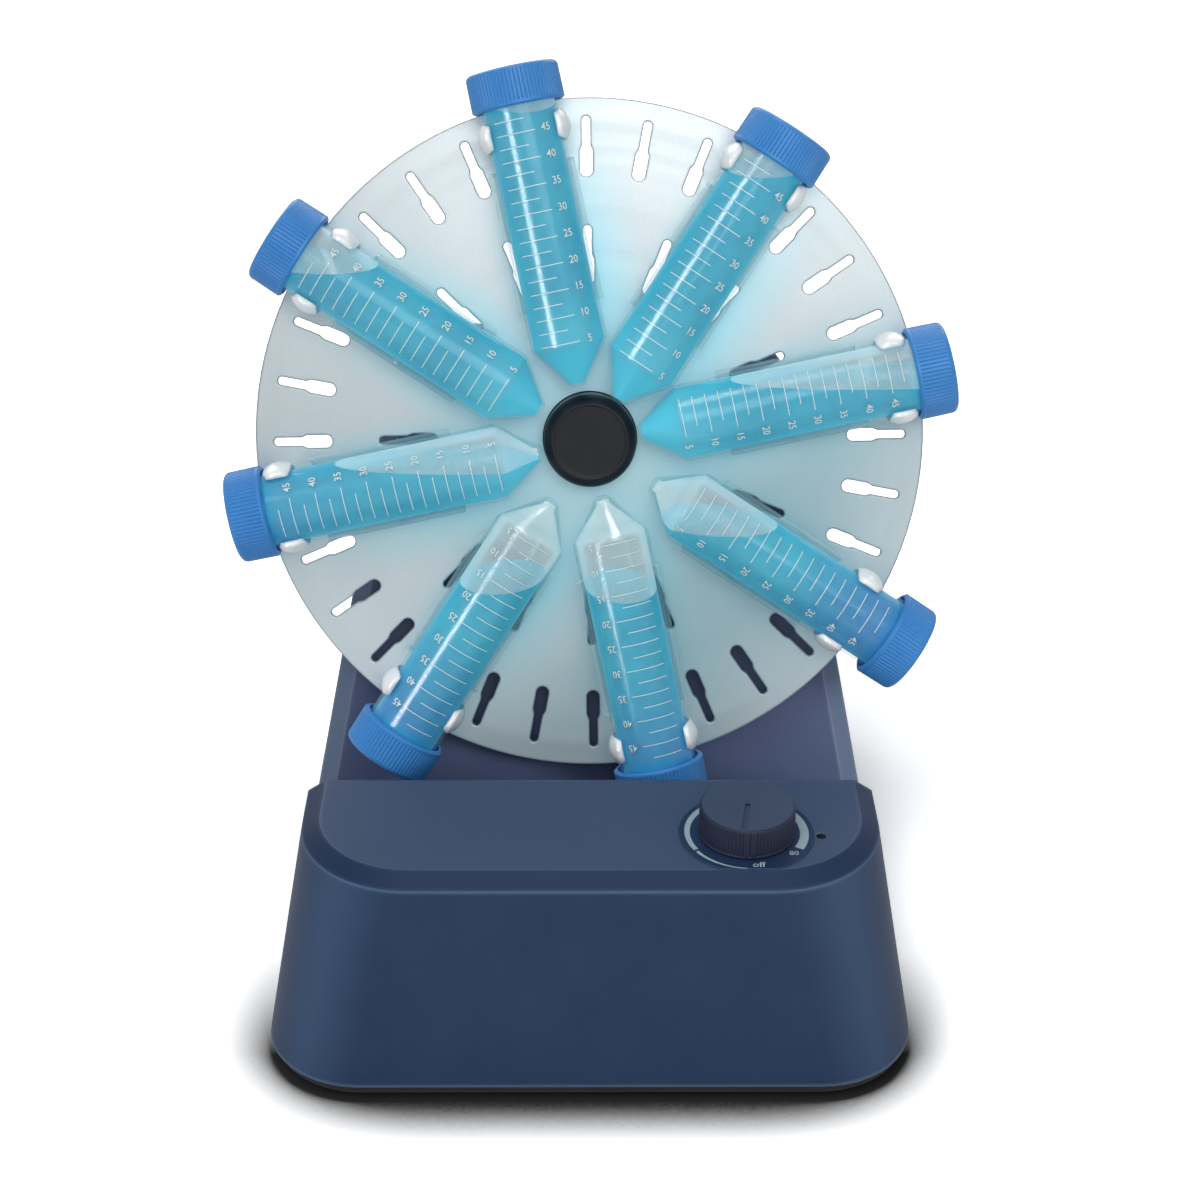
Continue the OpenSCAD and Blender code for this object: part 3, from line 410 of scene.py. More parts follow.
def bright_metal(name, colour, roughness, clouds):
    """Turned or plated metal for screws, shafts and the inner machinery."""
    material, tree, shader, where = new_finish(name, {"Metallic": 1.0})
    grain = apply(tree, GRAIN, {"Vector": where, "Grains": 2400.0, "Clouds": clouds})
    edges = apply(tree, EDGES, {"Radius": 0.25 * MM})
    dull = tuple(0.8 * part for part in colour)
    body = blend_colour(tree, grain["Tone"], dull, colour)
    tree.links.new(body, shader["Base Color"])
    rough = between(tree, grain["Tone"], roughness - 0.06, roughness + 0.08)
    tree.links.new(rough, shader["Roughness"])
    finish_relief(tree, shader, grain["Relief"], edges["Normal"], 0.15, 0.03 * MM)
    return material


def disc_aluminium():
    """Satin aluminium, turned about the hub, with the tubes' cyan light painted on it.

    On its front, painted cyan light falls a little below and to the right of each
    tube, a painted shaded pool lies at the lower right, the cut edges are painted dark
    as shade, and a painted glow stands in for light from the room, from the housing on
    the foot, and from the tubes.
    """
    material, tree, shader, where = new_finish(
        "aluminium", {"Metallic": 0.75, "Emission Strength": 0.3}
    )
    spot = apply(tree, ROTOR, {"Vector": where})
    dyed = apply(
        tree, ROTOR, {"Vector": compute_vector(tree, "ADD", where, DYED_LIGHT_FROM)}
    )
    turned = apply(tree, TURNED, {"Vector": where, "Radius": spot["Radius"]})
    clouds = apply(tree, GRAIN, {"Vector": where, "Grains": 1400.0, "Clouds": 16.0})
    edges = apply(tree, EDGES, {"Radius": 1.2 * MM})
    across, up, out = parts_of(tree, spot["Place"])
    front = spread(tree, out, -0.9 * MM, -0.2 * MM)

    # Painted light: cyan light from the tubes, near each tube's line and towards the
    # hub.
    near = spread(tree, dyed["Beside Tube"], 10 * MM, 30 * MM, 1.0, 0.0)
    inner = spread(tree, spot["Radius"], 50 * MM, 118 * MM, 1.0, 0.12)
    past_hub = spread(tree, spot["Radius"], 34 * MM, 62 * MM, 0.5, 1.0)
    lit = product(tree, near, inner, past_hub, front)

    # Painted shade: a shaded pool at the lower right.
    lower_right = compute(
        tree, "SUBTRACT", product(tree, across, 0.75), product(tree, up, 0.66)
    )
    in_corner = spread(tree, lower_right, 30 * MM, 66 * MM, 0.0, 0.9)
    off_rim = spread(tree, spot["Radius"], 90 * MM, 126 * MM, 1.0, 0.3)
    pool = product(tree, in_corner, off_rim, front)

    body = blend_colour(tree, clouds["Tone"], *SATIN)
    body = blend_colour(tree, product(tree, lit, 0.75), body, CYAN_LIT_SATIN)
    body = blend_colour(tree, pool, body, SHADED_SATIN)
    # Painted shade: the cut edges are darkened.
    body = blend_colour(tree, product(tree, edges["Edge"], 0.85), body, SHADED_CUT_EDGE)
    tree.links.new(body, shader["Base Color"])

    # Painted glow through the emission: the room's light, light from the housing on
    # the foot, and the tubes' cyan light.
    foot = spread(tree, up, -85 * MM, 10 * MM, 1.0, 0.0)
    foot = product(tree, foot, front, compute(tree, "SUBTRACT", 1.0, pool))
    bounce = blend_colour(tree, foot, ROOM_BOUNCE, DECK_BOUNCE)
    bounce = blend_colour(tree, lit, bounce, DYED_BOUNCE)
    tree.links.new(bounce, shader["Emission Color"])
    tree.links.new(between(tree, turned["Band"], 0.36, 0.44), shader["Roughness"])
    finish_relief(tree, shader, turned["Relief"], edges["Normal"], 0.12, 0.03 * MM)
    return material


def tube_plastic():
    """Clear polypropylene: thin and see-through face on, denser at its edges."""
    material, tree, shader, where = new_finish("tube", {"IOR": 1.5})
    marks = apply(tree, SMEARS, {"Vector": where, "Size": 90.0})
    away = turned_away(tree, 0.35)
    tree.links.new(blend_colour(tree, away, *TUBE_WALL), shader["Base Color"])
    tree.links.new(between(tree, marks["Smear"], 0.12, 0.20), shader["Roughness"])
    cover = spread(tree, away, 0.2, 0.95, 0.08, 0.5)
    inside = place(tree, "NewGeometry").outputs["Backfacing"]
    shown = compute(tree, "SUBTRACT", 1.0, product(tree, inside, 0.8))
    tree.links.new(product(tree, cover, shown), shader["Alpha"])
    return material


def dyed_water():
    """Blue dyed water with painted light and shade: a deeper blue in the lower tubes
    towards their caps, a paler flat top, and a glow in its own colour.
    """
    constants = {"IOR": 1.45, "Roughness": 0.16, "Emission Strength": 0.29}
    material, tree, shader, where = new_finish("liquid", constants)
    spot = apply(tree, ROTOR, {"Vector": where})
    clouds = apply(tree, GRAIN, {"Vector": where, "Grains": 260.0, "Clouds": 34.0})
    up = parts_of(tree, spot["Place"])[1]
    # Painted shade: deeper blue in the lower tubes towards their caps.
    by_cap = spread(tree, spot["Radius"], 86 * MM, 126 * MM)
    below = spread(tree, up, -60 * MM, 20 * MM, 1.0, 0.15)
    tip = spread(tree, spot["Radius"], 30 * MM, 58 * MM, 0.6, 0.0)
    side = spread(tree, turned_away(tree, 0.4), 0.45, 1.0, 0.0, 0.7)
    # Painted light: the flat top is paler.
    top = apply(tree, LOOKS_WHERE, {})["Flat"]

    cyan = blend_colour(tree, clouds["Tone"], *CYAN_WATER)
    blue = blend_colour(tree, clouds["Tone"], *SHADED_BLUE_WATER)
    body = blend_colour(tree, product(tree, by_cap, below), cyan, blue)
    body = blend_colour(tree, tip, body, TIP_WATER)
    body = blend_colour(tree, side, body, SIDE_WATER)
    body = blend_colour(tree, top, body, LIT_TOP_WATER)
    tree.links.new(body, shader["Base Color"])
    # Painted glow: the water glows in its own colour.
    tree.links.new(body, shader["Emission Color"])
    tree.links.new(between(tree, top, 0.90, 0.82), shader["Alpha"])
    return material


def glowing_dry_wall():
    """The milky wall of a tube where no water wets it, with a painted glow in the same
    colour.
    """
    constants = {"Roughness": 0.13, "Emission Strength": 0.28}
    material, tree, shader, where = new_finish("glowing_dry_wall", constants)
    mist = apply(tree, SMEARS, {"Vector": where, "Size": 120.0})
    milk_and_glow = blend_colour(tree, mist["Smear"], *MILKY_GLOWING_WALL)
    tree.links.new(milk_and_glow, shader["Base Color"])
    # Painted glow in the wall's milky colour.
    tree.links.new(milk_and_glow, shader["Emission Color"])
    cover = spread(tree, turned_away(tree, 0.4), 0.1, 0.9, 0.28, 0.60)
    tree.links.new(cover, shader["Alpha"])
    return material


def clip_plastic():
    """White clip jaws, with thin cradle strips that let light through, whose upward
    faces are painted whiter and more opaque as a highlight.
    """
    material, tree, shader, where = new_finish("clip", {"Specular IOR Level": 0.5})
    spot = apply(tree, ROTOR, {"Vector": where})
    clouds = apply(tree, GRAIN, {"Vector": where, "Grains": 900.0, "Clouds": 90.0})
    edges = apply(tree, EDGES, {"Radius": 1.4 * MM})
    strip = spread(tree, spot["Radius"], 103 * MM, 108 * MM, 1.0, 0.0)
    # Painted highlight: strip faces that look upwards are whiter and more opaque.
    caught = apply(tree, LOOKS_WHERE, {})["Upwards"]
    white = blend_colour(tree, clouds["Tone"], *CLIP_WHITE)
    thin = blend_colour(tree, caught, *CLIP_STRIP)
    tree.links.new(blend_colour(tree, strip, white, thin), shader["Base Color"])
    clear = product(tree, strip, between(tree, caught, 0.82, 0.30))
    tree.links.new(compute(tree, "SUBTRACT", 1.0, clear), shader["Alpha"])
    tree.links.new(between(tree, clouds["Tone"], 0.16, 0.26), shader["Roughness"])
    finish_relief(tree, shader, clouds["Relief"], edges["Normal"], 0.08, 0.03 * MM)
    return material


def printed_ink(name, colour, alpha=1.0):
    """Screen-printed ink with a slightly uneven cover."""
    constants = {"Roughness": 0.5, "Alpha": alpha}
    material, tree, shader, where = new_finish(name, constants)
    grain = apply(tree, GRAIN, {"Vector": where, "Grains": 4000.0, "Clouds": 500.0})
    thin = tuple(0.86 * part for part in colour)
    body = blend_colour(tree, grain["Tone"], thin, colour)
    tree.links.new(body, shader["Base Color"])
    finish_relief(tree, shader, grain["Relief"], None, 0.1, 0.02 * MM)
    return material


NAVY = dict(roughness=0.48, grains=1300.0, clouds=38.0, edge_radius=2.4 * MM)
# In each moulded finish the third colour is a painted highlight along the edges.
FINISHES = {
    "housing": moulded(
        "housing", (0.011, 0.030, 0.082), (0.017, 0.039, 0.096), (0.13, 0.23, 0.37),
        specular=0.24, relief=0.3, edge_share=0.8,
        tones=(
            # Painted sheen on the level deck, painted shade on the sloped bevel, and a
            # painted sheen round the front corners.
            ("Level", (0.055, 0.080, 0.153)),
            ("Slope", (0.005, 0.021, 0.066)),
            ("Corner", (0.028, 0.065, 0.142)),
        ),
        **NAVY,
    ),
    "upright": moulded(
        "upright", (0.054, 0.075, 0.152), (0.066, 0.089, 0.174), (0.30, 0.34, 0.42),
        specular=0.34, relief=0.3, edge_share=0.6,
        # Painted light: a lighter level top and lighter sides.
        tones=(("Level", (0.08, 0.11, 0.20)), ("Sideways", (0.105, 0.145, 0.225))),
        **NAVY,
    ),
    "tray": moulded(
        "tray", (0.011, 0.011, 0.011), (0.020, 0.020, 0.019), (0.06, 0.06, 0.06)
    ),
    "feet": moulded(
        "feet", (0.008, 0.008, 0.009), (0.016, 0.016, 0.018), (0.05, 0.05, 0.05),
        roughness=0.8, specular=0.2, relief=0.5,
    ),
    "steel": bright_metal("steel", (0.62, 0.63, 0.65), 0.3, 300.0),
    "dial": moulded(
        "dial", (0.010, 0.028, 0.074), (0.016, 0.036, 0.088), (0.14, 0.20, 0.32),
        roughness=0.42, relief=0.12, edge_radius=0.3 * MM,
    ),
    "knob": moulded(
        "knob", (0.014, 0.019, 0.044), (0.024, 0.031, 0.060), (0.08, 0.09, 0.15),
        roughness=0.42, specular=0.24, grains=1800.0, relief=0.3,
        # Painted sheen on the knob's level top.
        edge_radius=0.3 * MM, tones=(("Level", (0.054, 0.073, 0.128)),),
    ),
    "pot": moulded("pot", (0.06, 0.15, 0.09), (0.10, 0.20, 0.13), (0.25, 0.35, 0.27)),
    "light": moulded(
        "light", (0.003, 0.006, 0.008), (0.005, 0.010, 0.012), (0.02, 0.03, 0.04),
        roughness=0.3, specular=0.08, relief=0.02, edge_radius=0.3 * MM,
    ),
    "board": moulded(
        "board", (0.012, 0.085, 0.04), (0.02, 0.13, 0.06), (0.2, 0.3, 0.15)
    ),
    "inlet": moulded(
        "inlet", (0.008, 0.008, 0.009), (0.016, 0.016, 0.018), (0.06, 0.06, 0.06)
    ),
    "motor": bright_metal("motor", (0.34, 0.35, 0.37), 0.42, 120.0),
    "aluminium": disc_aluminium(),
    "black": moulded(
        "black", (0.006, 0.007, 0.010), (0.012, 0.013, 0.018), (0.06, 0.08, 0.11),
        roughness=0.36, specular=0.28, grains=1700.0, relief=0.35,
        edge_radius=0.5 * MM,
    ),
    "clip": clip_plastic(),
    "tube": tube_plastic(),
    "liquid": dyed_water(),
    "cap": moulded(
        "cap", (0.031, 0.202, 0.545), (0.046, 0.262, 0.650), (0.17, 0.45, 0.84),
        roughness=0.40, specular=0.4, grains=900.0, clouds=30.0, relief=0.1,
        edge_radius=0.25 * MM, edge_share=0.3,
    ),
}
SCALE_INK = printed_ink("scale_ink", (0.78, 0.93, 0.92), 0.95)
GLOWING_DRY_WALL = glowing_dry_wall()
FROSTED = printed_ink("frosted_patch", (0.90, 0.97, 0.98), 0.02)
DIAL_INK = printed_ink("dial_ink", (0.36, 0.46, 0.52))


def finish_solids():
    """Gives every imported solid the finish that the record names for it."""
    for part in frame["record"]["subparts"]:
        solid = frame["nodes"][part["node"]]
        for holder in solid.material_slots:
            holder.material = FINISHES[part["material_slot"]]


# -------------------------------------------------------- building the prints


# How much bolder the letters are than the plain font, as a share of their size, and
# the steps in each curve of a letter.
BOLDER = 0.012
LETTER_STEPS = 3


def lettering(layout, body, size, middle):
    """Adds the flat faces of a few characters to a layout."""
    curve = bpy.data.curves.new("lettering", "FONT")
    curve.body, curve.size, curve.resolution_u = body, size, LETTER_STEPS
    curve.offset = BOLDER * size
    curve.align_x = curve.align_y = "CENTER"
    holder = bpy.data.objects.new("lettering", curve)
    bpy.context.scene.collection.objects.link(holder)
    bpy.context.view_layer.update()
    flat = bpy.data.meshes.new_from_object(
        holder.evaluated_get(bpy.context.evaluated_depsgraph_get())
    )
    flat.transform(Matrix.Translation(middle))
    layout.from_mesh(flat)
    bpy.data.objects.remove(holder)
    bpy.data.curves.remove(curve)
    bpy.data.meshes.remove(flat)


def ribbon(layout, near, far):
    """Adds a strip of faces between two rows of flat points."""
    rows = [[layout.verts.new((*point, 0.0)) for point in row] for row in (near, far)]
    for a, b, c, d in zip(rows[0], rows[0][1:], rows[1][1:], rows[1]):
        layout.faces.new((a, b, c, d))


def flat_patch(layout, left, right, low, high, steps=8):
    """Adds one flat patch, in narrow strips so that it can wrap round the tube."""
    places = [left + (right - left) * step / steps for step in range(steps + 1)]
    ribbon(layout, [(x, low) for x in places], [(x, high) for x in places])


def inked(name, layout, thickness, wrap, finish):
    """Thickens a flat layout into a film, wraps it on its part and makes its mesh."""
    bmesh.ops.remove_doubles(layout, verts=layout.verts, dist=0.001 * MM)
    raised = bmesh.ops.extrude_face_region(layout, geom=layout.faces[:])["geom"]
    for point in raised:
        if isinstance(point, bmesh.types.BMVert):
            point.co.z += thickness
    for point in layout.verts:
        point.co = wrap(point.co)
    bmesh.ops.recalc_face_normals(layout, faces=layout.faces)
    mesh = bpy.data.meshes.new(name)
    layout.to_mesh(mesh)
    layout.free()
    mesh.materials.append(finish)
    return mesh


def put(name, mesh, matrix, body):
    """Adds a piece where the solids want it and rides it on its body."""
    piece = bpy.data.objects.new(name, mesh)
    piece.matrix_world = matrix
    bpy.context.scene.collection.objects.link(piece)
    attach(piece, body)


# ------------------------------------------------------------------ the tubes

# A tube's own measures, and how far its cap's joint is from its tip.
TUBE_RADIUS = 14.4 * MM
CAP_JOINT_FROM_TIP = 110 * MM

# The scale: its lines, one each 2.5 ml, and its numbers, one each 5 ml.
SCALE_LEFT = -10.8 * MM
FIRST_LINE = 16.7 * MM
LINE_STEP = 4.82 * MM
LINES = 18
LONG_LINE, SHORT_LINE = 15.0 * MM, 11.6 * MM
HALF_LINE_WIDTH = 0.13 * MM
NUMBERS_RIGHT = 19.4 * MM
NUMBERS_UP = 0.3 * MM
NUMBER_SIZE = 3.9 * MM
ARROW_RIGHT = 3.4 * MM
ARROW_SIZE = 2.4 * MM

# The frosted patch under the scale: half its width, its start below the first line,
# and its height in steps from one line to the next.
PATCH_HALF_WIDTH = 11.8 * MM
PATCH_BELOW = 2.2 * MM
PATCH_STEPS = LINES - 0.6

# The films on a tube: how thick they are, and how far off its wall.
INK_OFF_WALL = 0.03 * MM
INK_THICKNESS = 0.03 * MM
PATCH_SUNK = 0.015 * MM
PATCH_THICKNESS = 0.01 * MM

# The inside of a tube's wall: millimetres from the tip, and the radius there.
BORE = (
    (1.5, 2.2), (3.1, 2.4), (8.0, 6.9), (13.0, 11.4), (14.2, 12.6),
    (14.8, 13.05), (16.0, 13.2), (40.0, 13.2), (80.0, 13.2), (113.0, 13.2),
)
BORE_FACETS = 48
LINING_ABOVE_WATER = 0.05 * MM


def on_tube(point):
    """Wraps a flat point on the tube: x round it, y towards the cap, z outwards."""
    turn = point.x / TUBE_RADIUS
    reach = TUBE_RADIUS + INK_OFF_WALL + point.z
    return Vector((reach * math.sin(turn), -reach * math.cos(turn), point.y))


def tube_scale():
    """One tube's printed scale: its lines, its numbers and the arrow at its top."""
    layout = bmesh.new()
    for index in range(LINES):
        right = SCALE_LEFT + (SHORT_LINE if index % 2 else LONG_LINE)
        level = FIRST_LINE + index * LINE_STEP
        low, high = level - HALF_LINE_WIDTH, level + HALF_LINE_WIDTH
        flat_patch(layout, SCALE_LEFT, right, low, high)
        if index % 2 == 0:
            number = str(5 + 5 * (index // 2))
            spot = Vector((SCALE_LEFT + NUMBERS_RIGHT, level + NUMBERS_UP, 0))
            lettering(layout, number, NUMBER_SIZE, spot)
    top = FIRST_LINE + (LINES - 1) * LINE_STEP
    lettering(layout, "\u25c2", ARROW_SIZE, Vector((SCALE_LEFT + ARROW_RIGHT, top, 0)))
    return inked("tube_scale", layout, INK_THICKNESS, on_tube, SCALE_INK)


def frosted_patch():
    """The faintly frosted patch that the scale is printed on."""
    layout = bmesh.new()
    low = FIRST_LINE - PATCH_BELOW
    high = FIRST_LINE + PATCH_STEPS * LINE_STEP
    flat_patch(layout, -PATCH_HALF_WIDTH, PATCH_HALF_WIDTH, low, high, steps=12)
    return inked(
        "frosted_patch", layout, PATCH_THICKNESS,
        lambda point: on_tube(point - Vector((0, 0, PATCH_SUNK))), FROSTED,
    )


def tube_frame(index):
    """A tube's own frame: its tip, x across, -y outwards and z towards the cap."""
    along = Vector(JOINTS[f"tube_slide_{index}"]["axis"]).normalized()
    tip = Vector(JOINTS[f"cap_turn_{index}"]["pos_m"]) - along * CAP_JOINT_FROM_TIP
    side = (-FACING).cross(along)
    matrix = Matrix((side, -FACING, along)).transposed().to_4x4()
    matrix.translation = tip
    return matrix


def dry_lining(index, placed):
    """The inner wall of one tube above its waterline, a little inside the bore, which
    carries the dry wall's milky colour and painted glow.
    """
    layout = bmesh.new()
    turns = [math.tau * step / BORE_FACETS for step in range(BORE_FACETS)]
    rings = [
        [
            layout.verts.new(
                (reach * math.sin(turn) * MM, reach * math.cos(turn) * MM, along * MM)
            )
            for turn in turns
        ]
        for along, reach in BORE
    ]
    for low, high in zip(rings, rings[1:]):
        for step in range(BORE_FACETS):
            ahead = (step + 1) % BORE_FACETS
            layout.faces.new((low[step], low[ahead], high[ahead], high[step]))
    layout.transform(placed)
    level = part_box(f"liquid_{index}")[1].z + LINING_ABOVE_WATER
    bmesh.ops.bisect_plane(
        layout, geom=layout.verts[:] + layout.edges[:] + layout.faces[:],
        plane_co=(0, 0, level), plane_no=(0, 0, 1), clear_inner=True,
    )
    layout.transform(placed.inverted())
    mesh = bpy.data.meshes.new("dry_lining")
    layout.to_mesh(mesh)
    layout.free()
    mesh.shade_smooth()
    mesh.materials.append(GLOWING_DRY_WALL)
    return mesh


def print_scales():
    """Lines each tube where it is dry with the glowing dry wall, and prints its scale
    on its patch.
    """
    mesh, patch = tube_scale(), frosted_patch()
    for index in range(1, TUBE_COUNT + 1):
        placed = tube_frame(index)
        lining = dry_lining(index, placed)
        put(f"dry_lining_{index}", lining, placed, f"tube_{index}")
        put(f"tube_scale_{index}", mesh, placed, f"tube_{index}")
        put(f"frosted_patch_{index}", patch, placed, f"tube_{index}")


# ------------------------------------------------------------------- the dial

# The thin and the thick arc: where each starts and ends, and its width there. The
# angles are in degrees, clockwise from the back.
ARCS = ((183, 237, 0.3 * MM, 1.2 * MM), (240, 479, 1.7 * MM, 3.3 * MM))
ARC_OUTER_RADIUS = 22.0 * MM
ARC_STEPS = 60

# The words: their size and their middle, in millimetres from the knob's axis.
WORDS = (("off", 4.2, (3.0, -19.7, 0)), ("80", 3.4, (15.8, -12.8, 0)))
DIAL_INK_THICKNESS = 0.04 * MM
DIAL_INK_LIFT = Vector((0, 0, 0.01 * MM))


def arc_band(layout, start, end, width_start, width_end):
    """Adds one arc round the dial, with its width changing evenly along it."""
    rims = ([], [])
    for step in range(ARC_STEPS + 1):
        share = step / ARC_STEPS
        turn = math.radians(start + (end - start) * share)
        width = width_start + (width_end - width_start) * share
        for rim, reach in zip(rims, (ARC_OUTER_RADIUS - width, ARC_OUTER_RADIUS)):
            rim.append((reach * math.sin(turn), reach * math.cos(turn)))
    ribbon(layout, *rims)


def print_dial():
    """The thin and thick arcs round the speed dial, with its off and its 80."""
    middle = Vector(JOINTS["speed_turn"]["pos_m"])
    middle.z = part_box("dial_plate")[1].z
    layout = bmesh.new()
    for arc in ARCS:
        arc_band(layout, *arc)
    for word, size, spot in WORDS:
        lettering(layout, word, size * MM, Vector(spot) * MM)
    mesh = inked(
        "dial_print", layout, DIAL_INK_THICKNESS,
        lambda point: point + DIAL_INK_LIFT, DIAL_INK,
    )
    put("dial_print", mesh, Matrix.Translation(middle), "base")


# ------------------------------------------------------- camera, room, table

CAMERA_AT = (-0.00566, -0.74508, 0.54896)
CAMERA_PITCH, CAMERA_YAW, CAMERA_ROLL = 28.89, -0.66, 0.34
CAMERA_LENS, CAMERA_SENSOR = 68.77, 36.0

# The room's strength where it is seen, in shiny faces and as light.
ROOM_SEEN, ROOM_IN_GLOSS, ROOM_AS_LIGHT = 1.0, 0.55, 0.44
ROOM_COLOUR = (0.97, 0.985, 1.0, 1)

# The table: its half size, and its white where it is seen and as light.
TABLE_HALF_SIZE = 6.0
TABLE_SEEN, TABLE_AS_LIGHT = 1.9, 0.86

# Its painted contact shadow: how far that reaches, and the shares of open sky where it
# is full and where it ends.
SHADOW_REACH = 38 * MM
SKY_SHUT, SKY_OPEN = 0.66, 0.95

# The share of the white that is left in the full painted shadow, in front of the part
# and behind it, and how far from the front of the housing the first changes to the
# second.
DARKEST_IN_FRONT, DARKEST_BEHIND = 0.014, 0.86
FRONT_ENDS, BEHIND_STARTS = 25 * MM, 85 * MM

# The share that any ray but the camera's finds at the least.
UNSEEN_SHADE = 0.8


def set_camera():
    """The camera above the front edge, looking down at the disc."""
    pitch, yaw, roll = map(math.radians, (CAMERA_PITCH, CAMERA_YAW, CAMERA_ROLL))
    level = math.cos(pitch)
    ahead = Vector((-math.sin(yaw) * level, math.cos(yaw) * level, -math.sin(pitch)))
    right = Vector((math.cos(yaw), math.sin(yaw), 0))
    up = right.cross(ahead)
    turned_right = right * math.cos(roll) + up * math.sin(roll)
    turned_up = up * math.cos(roll) - right * math.sin(roll)
    data = bpy.data.cameras.new("camera")
    data.lens, data.sensor_width = CAMERA_LENS, CAMERA_SENSOR
    camera = bpy.data.objects.new("camera", data)
    matrix = Matrix((turned_right, turned_up, -ahead)).transposed().to_4x4()
    matrix.translation = Vector(CAMERA_AT)
    camera.matrix_world = matrix
    bpy.context.scene.collection.objects.link(camera)
    bpy.context.scene.camera = camera


def set_world():
    """A white room that lights the part softly from all round."""
    world = bpy.data.worlds.new("white_room")
    world.use_nodes = True
    tree = world.node_tree
    tree.nodes.clear()
    ray = place(tree, "LightPath").outputs
    seen = compute(tree, "MAXIMUM", ray["Is Camera Ray"], ray["Is Transmission Ray"])
    unseen = between(tree, ray["Is Glossy Ray"], ROOM_AS_LIGHT, ROOM_IN_GLOSS)
    strength = between(tree, seen, unseen, ROOM_SEEN)
    room = place(tree, "Background", {"Color": ROOM_COLOUR, "Strength": strength})
    place(tree, "OutputWorld", {"Surface": room.outputs[0]})
    bpy.context.scene.world = world


def set_floor():
    """A plain white table with a dark contact shadow painted close round the housing.

    The painted shadow is strongest in front of the housing and fades to faint behind
    it.
    """
    layout = bmesh.new()
    bmesh.ops.create_grid(layout, x_segments=4, y_segments=4, size=TABLE_HALF_SIZE)
    mesh = bpy.data.meshes.new("table")
    layout.to_mesh(mesh)
    layout.free()
    constants = {"Roughness": 0.9, "Specular IOR Level": 0.0}
    material, tree, shader, where = new_finish("table_white", constants)
    seen = place(tree, "LightPath").outputs["Is Camera Ray"]
    white = between(tree, seen, TABLE_AS_LIGHT, TABLE_SEEN)
    # Painted shadow: the table is darkened by its ambient occlusion, more in front
    # than behind.
    near = place(tree, "AmbientOcclusion", {"Distance": SHADOW_REACH}, samples=16)
    open_sky = spread(tree, near.outputs["AO"], SKY_SHUT, SKY_OPEN)
    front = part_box("base_housing")[0].y
    darkest = spread(
        tree, parts_of(tree, where)[1], front + FRONT_ENDS, front + BEHIND_STARTS,
        DARKEST_IN_FRONT, DARKEST_BEHIND,
    )
    shade = between(tree, open_sky, darkest, 1.0)
    unseen = product(tree, compute(tree, "SUBTRACT", 1.0, seen), UNSEEN_SHADE)
    shade = compute(tree, "MAXIMUM", shade, unseen)
    tree.links.new(product(tree, white, shade), shader["Base Color"])
    mesh.materials.append(material)
    table = bpy.data.objects.new("table", mesh)
    bpy.context.scene.collection.objects.link(table)


# ------------------------------------------------------------------ the lamps

# What some lamps are kept to, by the starts of the names of pieces and solids.
ALL = ()
TUBES = (
    "liquid_", "clip_", "dry_lining_",
    *(f"tube_{index}" for index in range(1, TUBE_COUNT + 1)),
)
LOWER_TUBES = ("tube_5", "tube_6", "dry_lining_5", "dry_lining_6")
SHELL = ("base_housing",)
UPRIGHT = ("upright_shell",)

# The key: its place, its target, its power, and the angle that softens its shadows.
KEY_AT, KEY_TARGET, KEY_POWER, KEY_ANGLE = (-0.5, -0.55, 1.6), (0, 0, 0.1), 1.1, 40

# Each other lamp: name, place, target, power, width and height, and what it lights.
FILLS = (
    ("fill", (0.1, -1.25, 0.75), HUB, 4.6, (0.8, 0.8), ALL),
    ("column_fill", (0.55, -0.75, 0.62), (0, 0.06, 0.08), 4.5, (0.3, 0.3), UPRIGHT),
)
BOXES = (
    ("tall_box", (-0.83, -0.79, 0.58), HUB, 29.0, (0.28, 1.6), TUBES),
    ("cone_box", (0.05, 0.05, 1.40), HUB, 50.0, (1.3, 0.35), LOWER_TUBES),
    ("upper_box", (0.18, -0.89, 0.94), HUB, 4.4, (0.8, 0.5), ALL),
    ("top_box", (-0.10, -0.05, 1.45), (0, 0, 0.2), 3.2, (0.36, 0.36), ALL),
    ("left_box", (-1.15, -0.70, 0.40), (0, 0, 0.08), 1.6, (0.4, 0.9), SHELL),
    ("right_box", (1.15, -0.70, 0.40), (0, 0, 0.08), 4.6, (0.4, 0.9), SHELL),
    ("back_box", (0.0, 1.50, 0.95), (0, 0, 0.1), 20.0, (2.6, 0.9), ALL),
)


def add_lamp(name, kind, source, target, energy, size=None, onto=()):
    """Adds a lamp that looks at its target and lights all, or only some pieces."""
    data = bpy.data.lights.new(name, kind)
    data.energy = energy
    if size:
        data.shape, data.size, data.size_y = "RECTANGLE", *size
    lamp = bpy.data.objects.new(name, data)
    aim = (Vector(target) - Vector(source)).to_track_quat("-Z", "Y")
    lamp.matrix_world = Matrix.Translation(source) @ aim.to_matrix().to_4x4()
    bpy.context.scene.collection.objects.link(lamp)
    if onto:
        lit = bpy.data.collections.new(name + "_lights")
        for piece in bpy.data.objects:
            if piece.name.startswith(onto):
                lit.objects.link(piece)
        lamp.light_linking.receiver_collection = lit
    return lamp


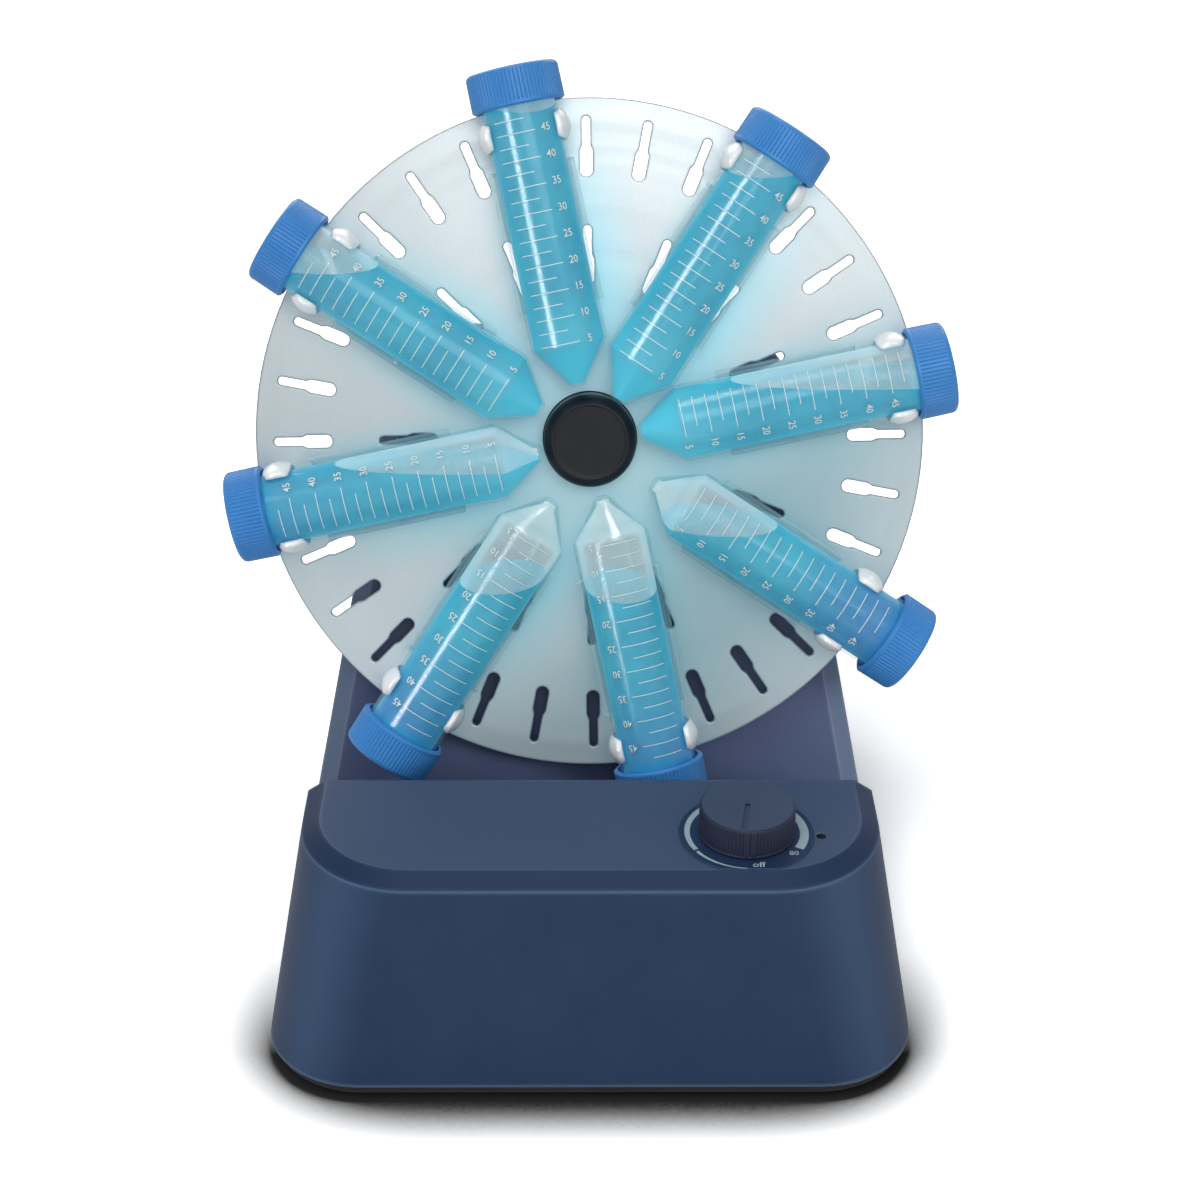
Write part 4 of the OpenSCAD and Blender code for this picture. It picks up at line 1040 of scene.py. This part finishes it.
def set_lamps():
    """A broad soft key, fills without a glint, and boxes seen only as reflections."""
    key = add_lamp("key", "SUN", KEY_AT, KEY_TARGET, KEY_POWER)
    key.data.angle = math.radians(KEY_ANGLE)
    key.visible_glossy = False
    for name, *settings in FILLS:
        add_lamp(name, "AREA", *settings).visible_glossy = False
    for name, *settings in BOXES:
        add_lamp(name, "AREA", *settings).visible_diffuse = False


# ------------------------------------------------------------- smooth shading

# Faces that meet at a larger angle than this keep a sharp edge.
SHARP_FROM = math.radians(26)
WELD = 0.001 * MM
DRAFTED = ("base_housing", "base_tray", "upright_shell", "rear_cover")


def shade_drafted_walls():
    """Shades the drafted shells smoothly and keeps their true edges sharp."""
    tree = bpy.data.node_groups.new("smooth_walls", "GeometryNodeTree")
    for way in ("INPUT", "OUTPUT"):
        tree.interface.new_socket(
            "Geometry", in_out=way, socket_type="NodeSocketGeometry"
        )
    plain = tree.nodes.new("GeometryNodeRemoveAttribute")
    plain.inputs["Name"].default_value = "custom_normal"
    joined = tree.nodes.new("GeometryNodeMergeByDistance")
    joined.inputs["Distance"].default_value = WELD
    smooth = tree.nodes.new("GeometryNodeSetShadeSmooth")
    angle = tree.nodes.new("GeometryNodeInputMeshEdgeAngle")
    steep = tree.nodes.new("ShaderNodeMath")
    steep.operation = "GREATER_THAN"
    steep.inputs[1].default_value = SHARP_FROM
    sharp = tree.nodes.new("GeometryNodeSetShadeSmooth")
    sharp.domain = "EDGE"
    sharp.inputs["Shade Smooth"].default_value = False
    flow = [
        tree.nodes.new("NodeGroupInput"), plain, joined, smooth, sharp,
        tree.nodes.new("NodeGroupOutput"),
    ]
    for first, second in zip(flow, flow[1:]):
        tree.links.new(first.outputs[0], second.inputs[0])
    tree.links.new(angle.outputs["Unsigned Angle"], steep.inputs[0])
    tree.links.new(steep.outputs[0], sharp.inputs["Selection"])
    for name in DRAFTED:
        frame["nodes"][name].modifiers.new("smooth_walls", "NODES").node_group = tree


set_camera()
finish_solids()
shade_drafted_walls()
print_scales()
print_dial()
set_world()
set_floor()
set_lamps()
bpy.context.scene.view_settings.view_transform = "Standard"
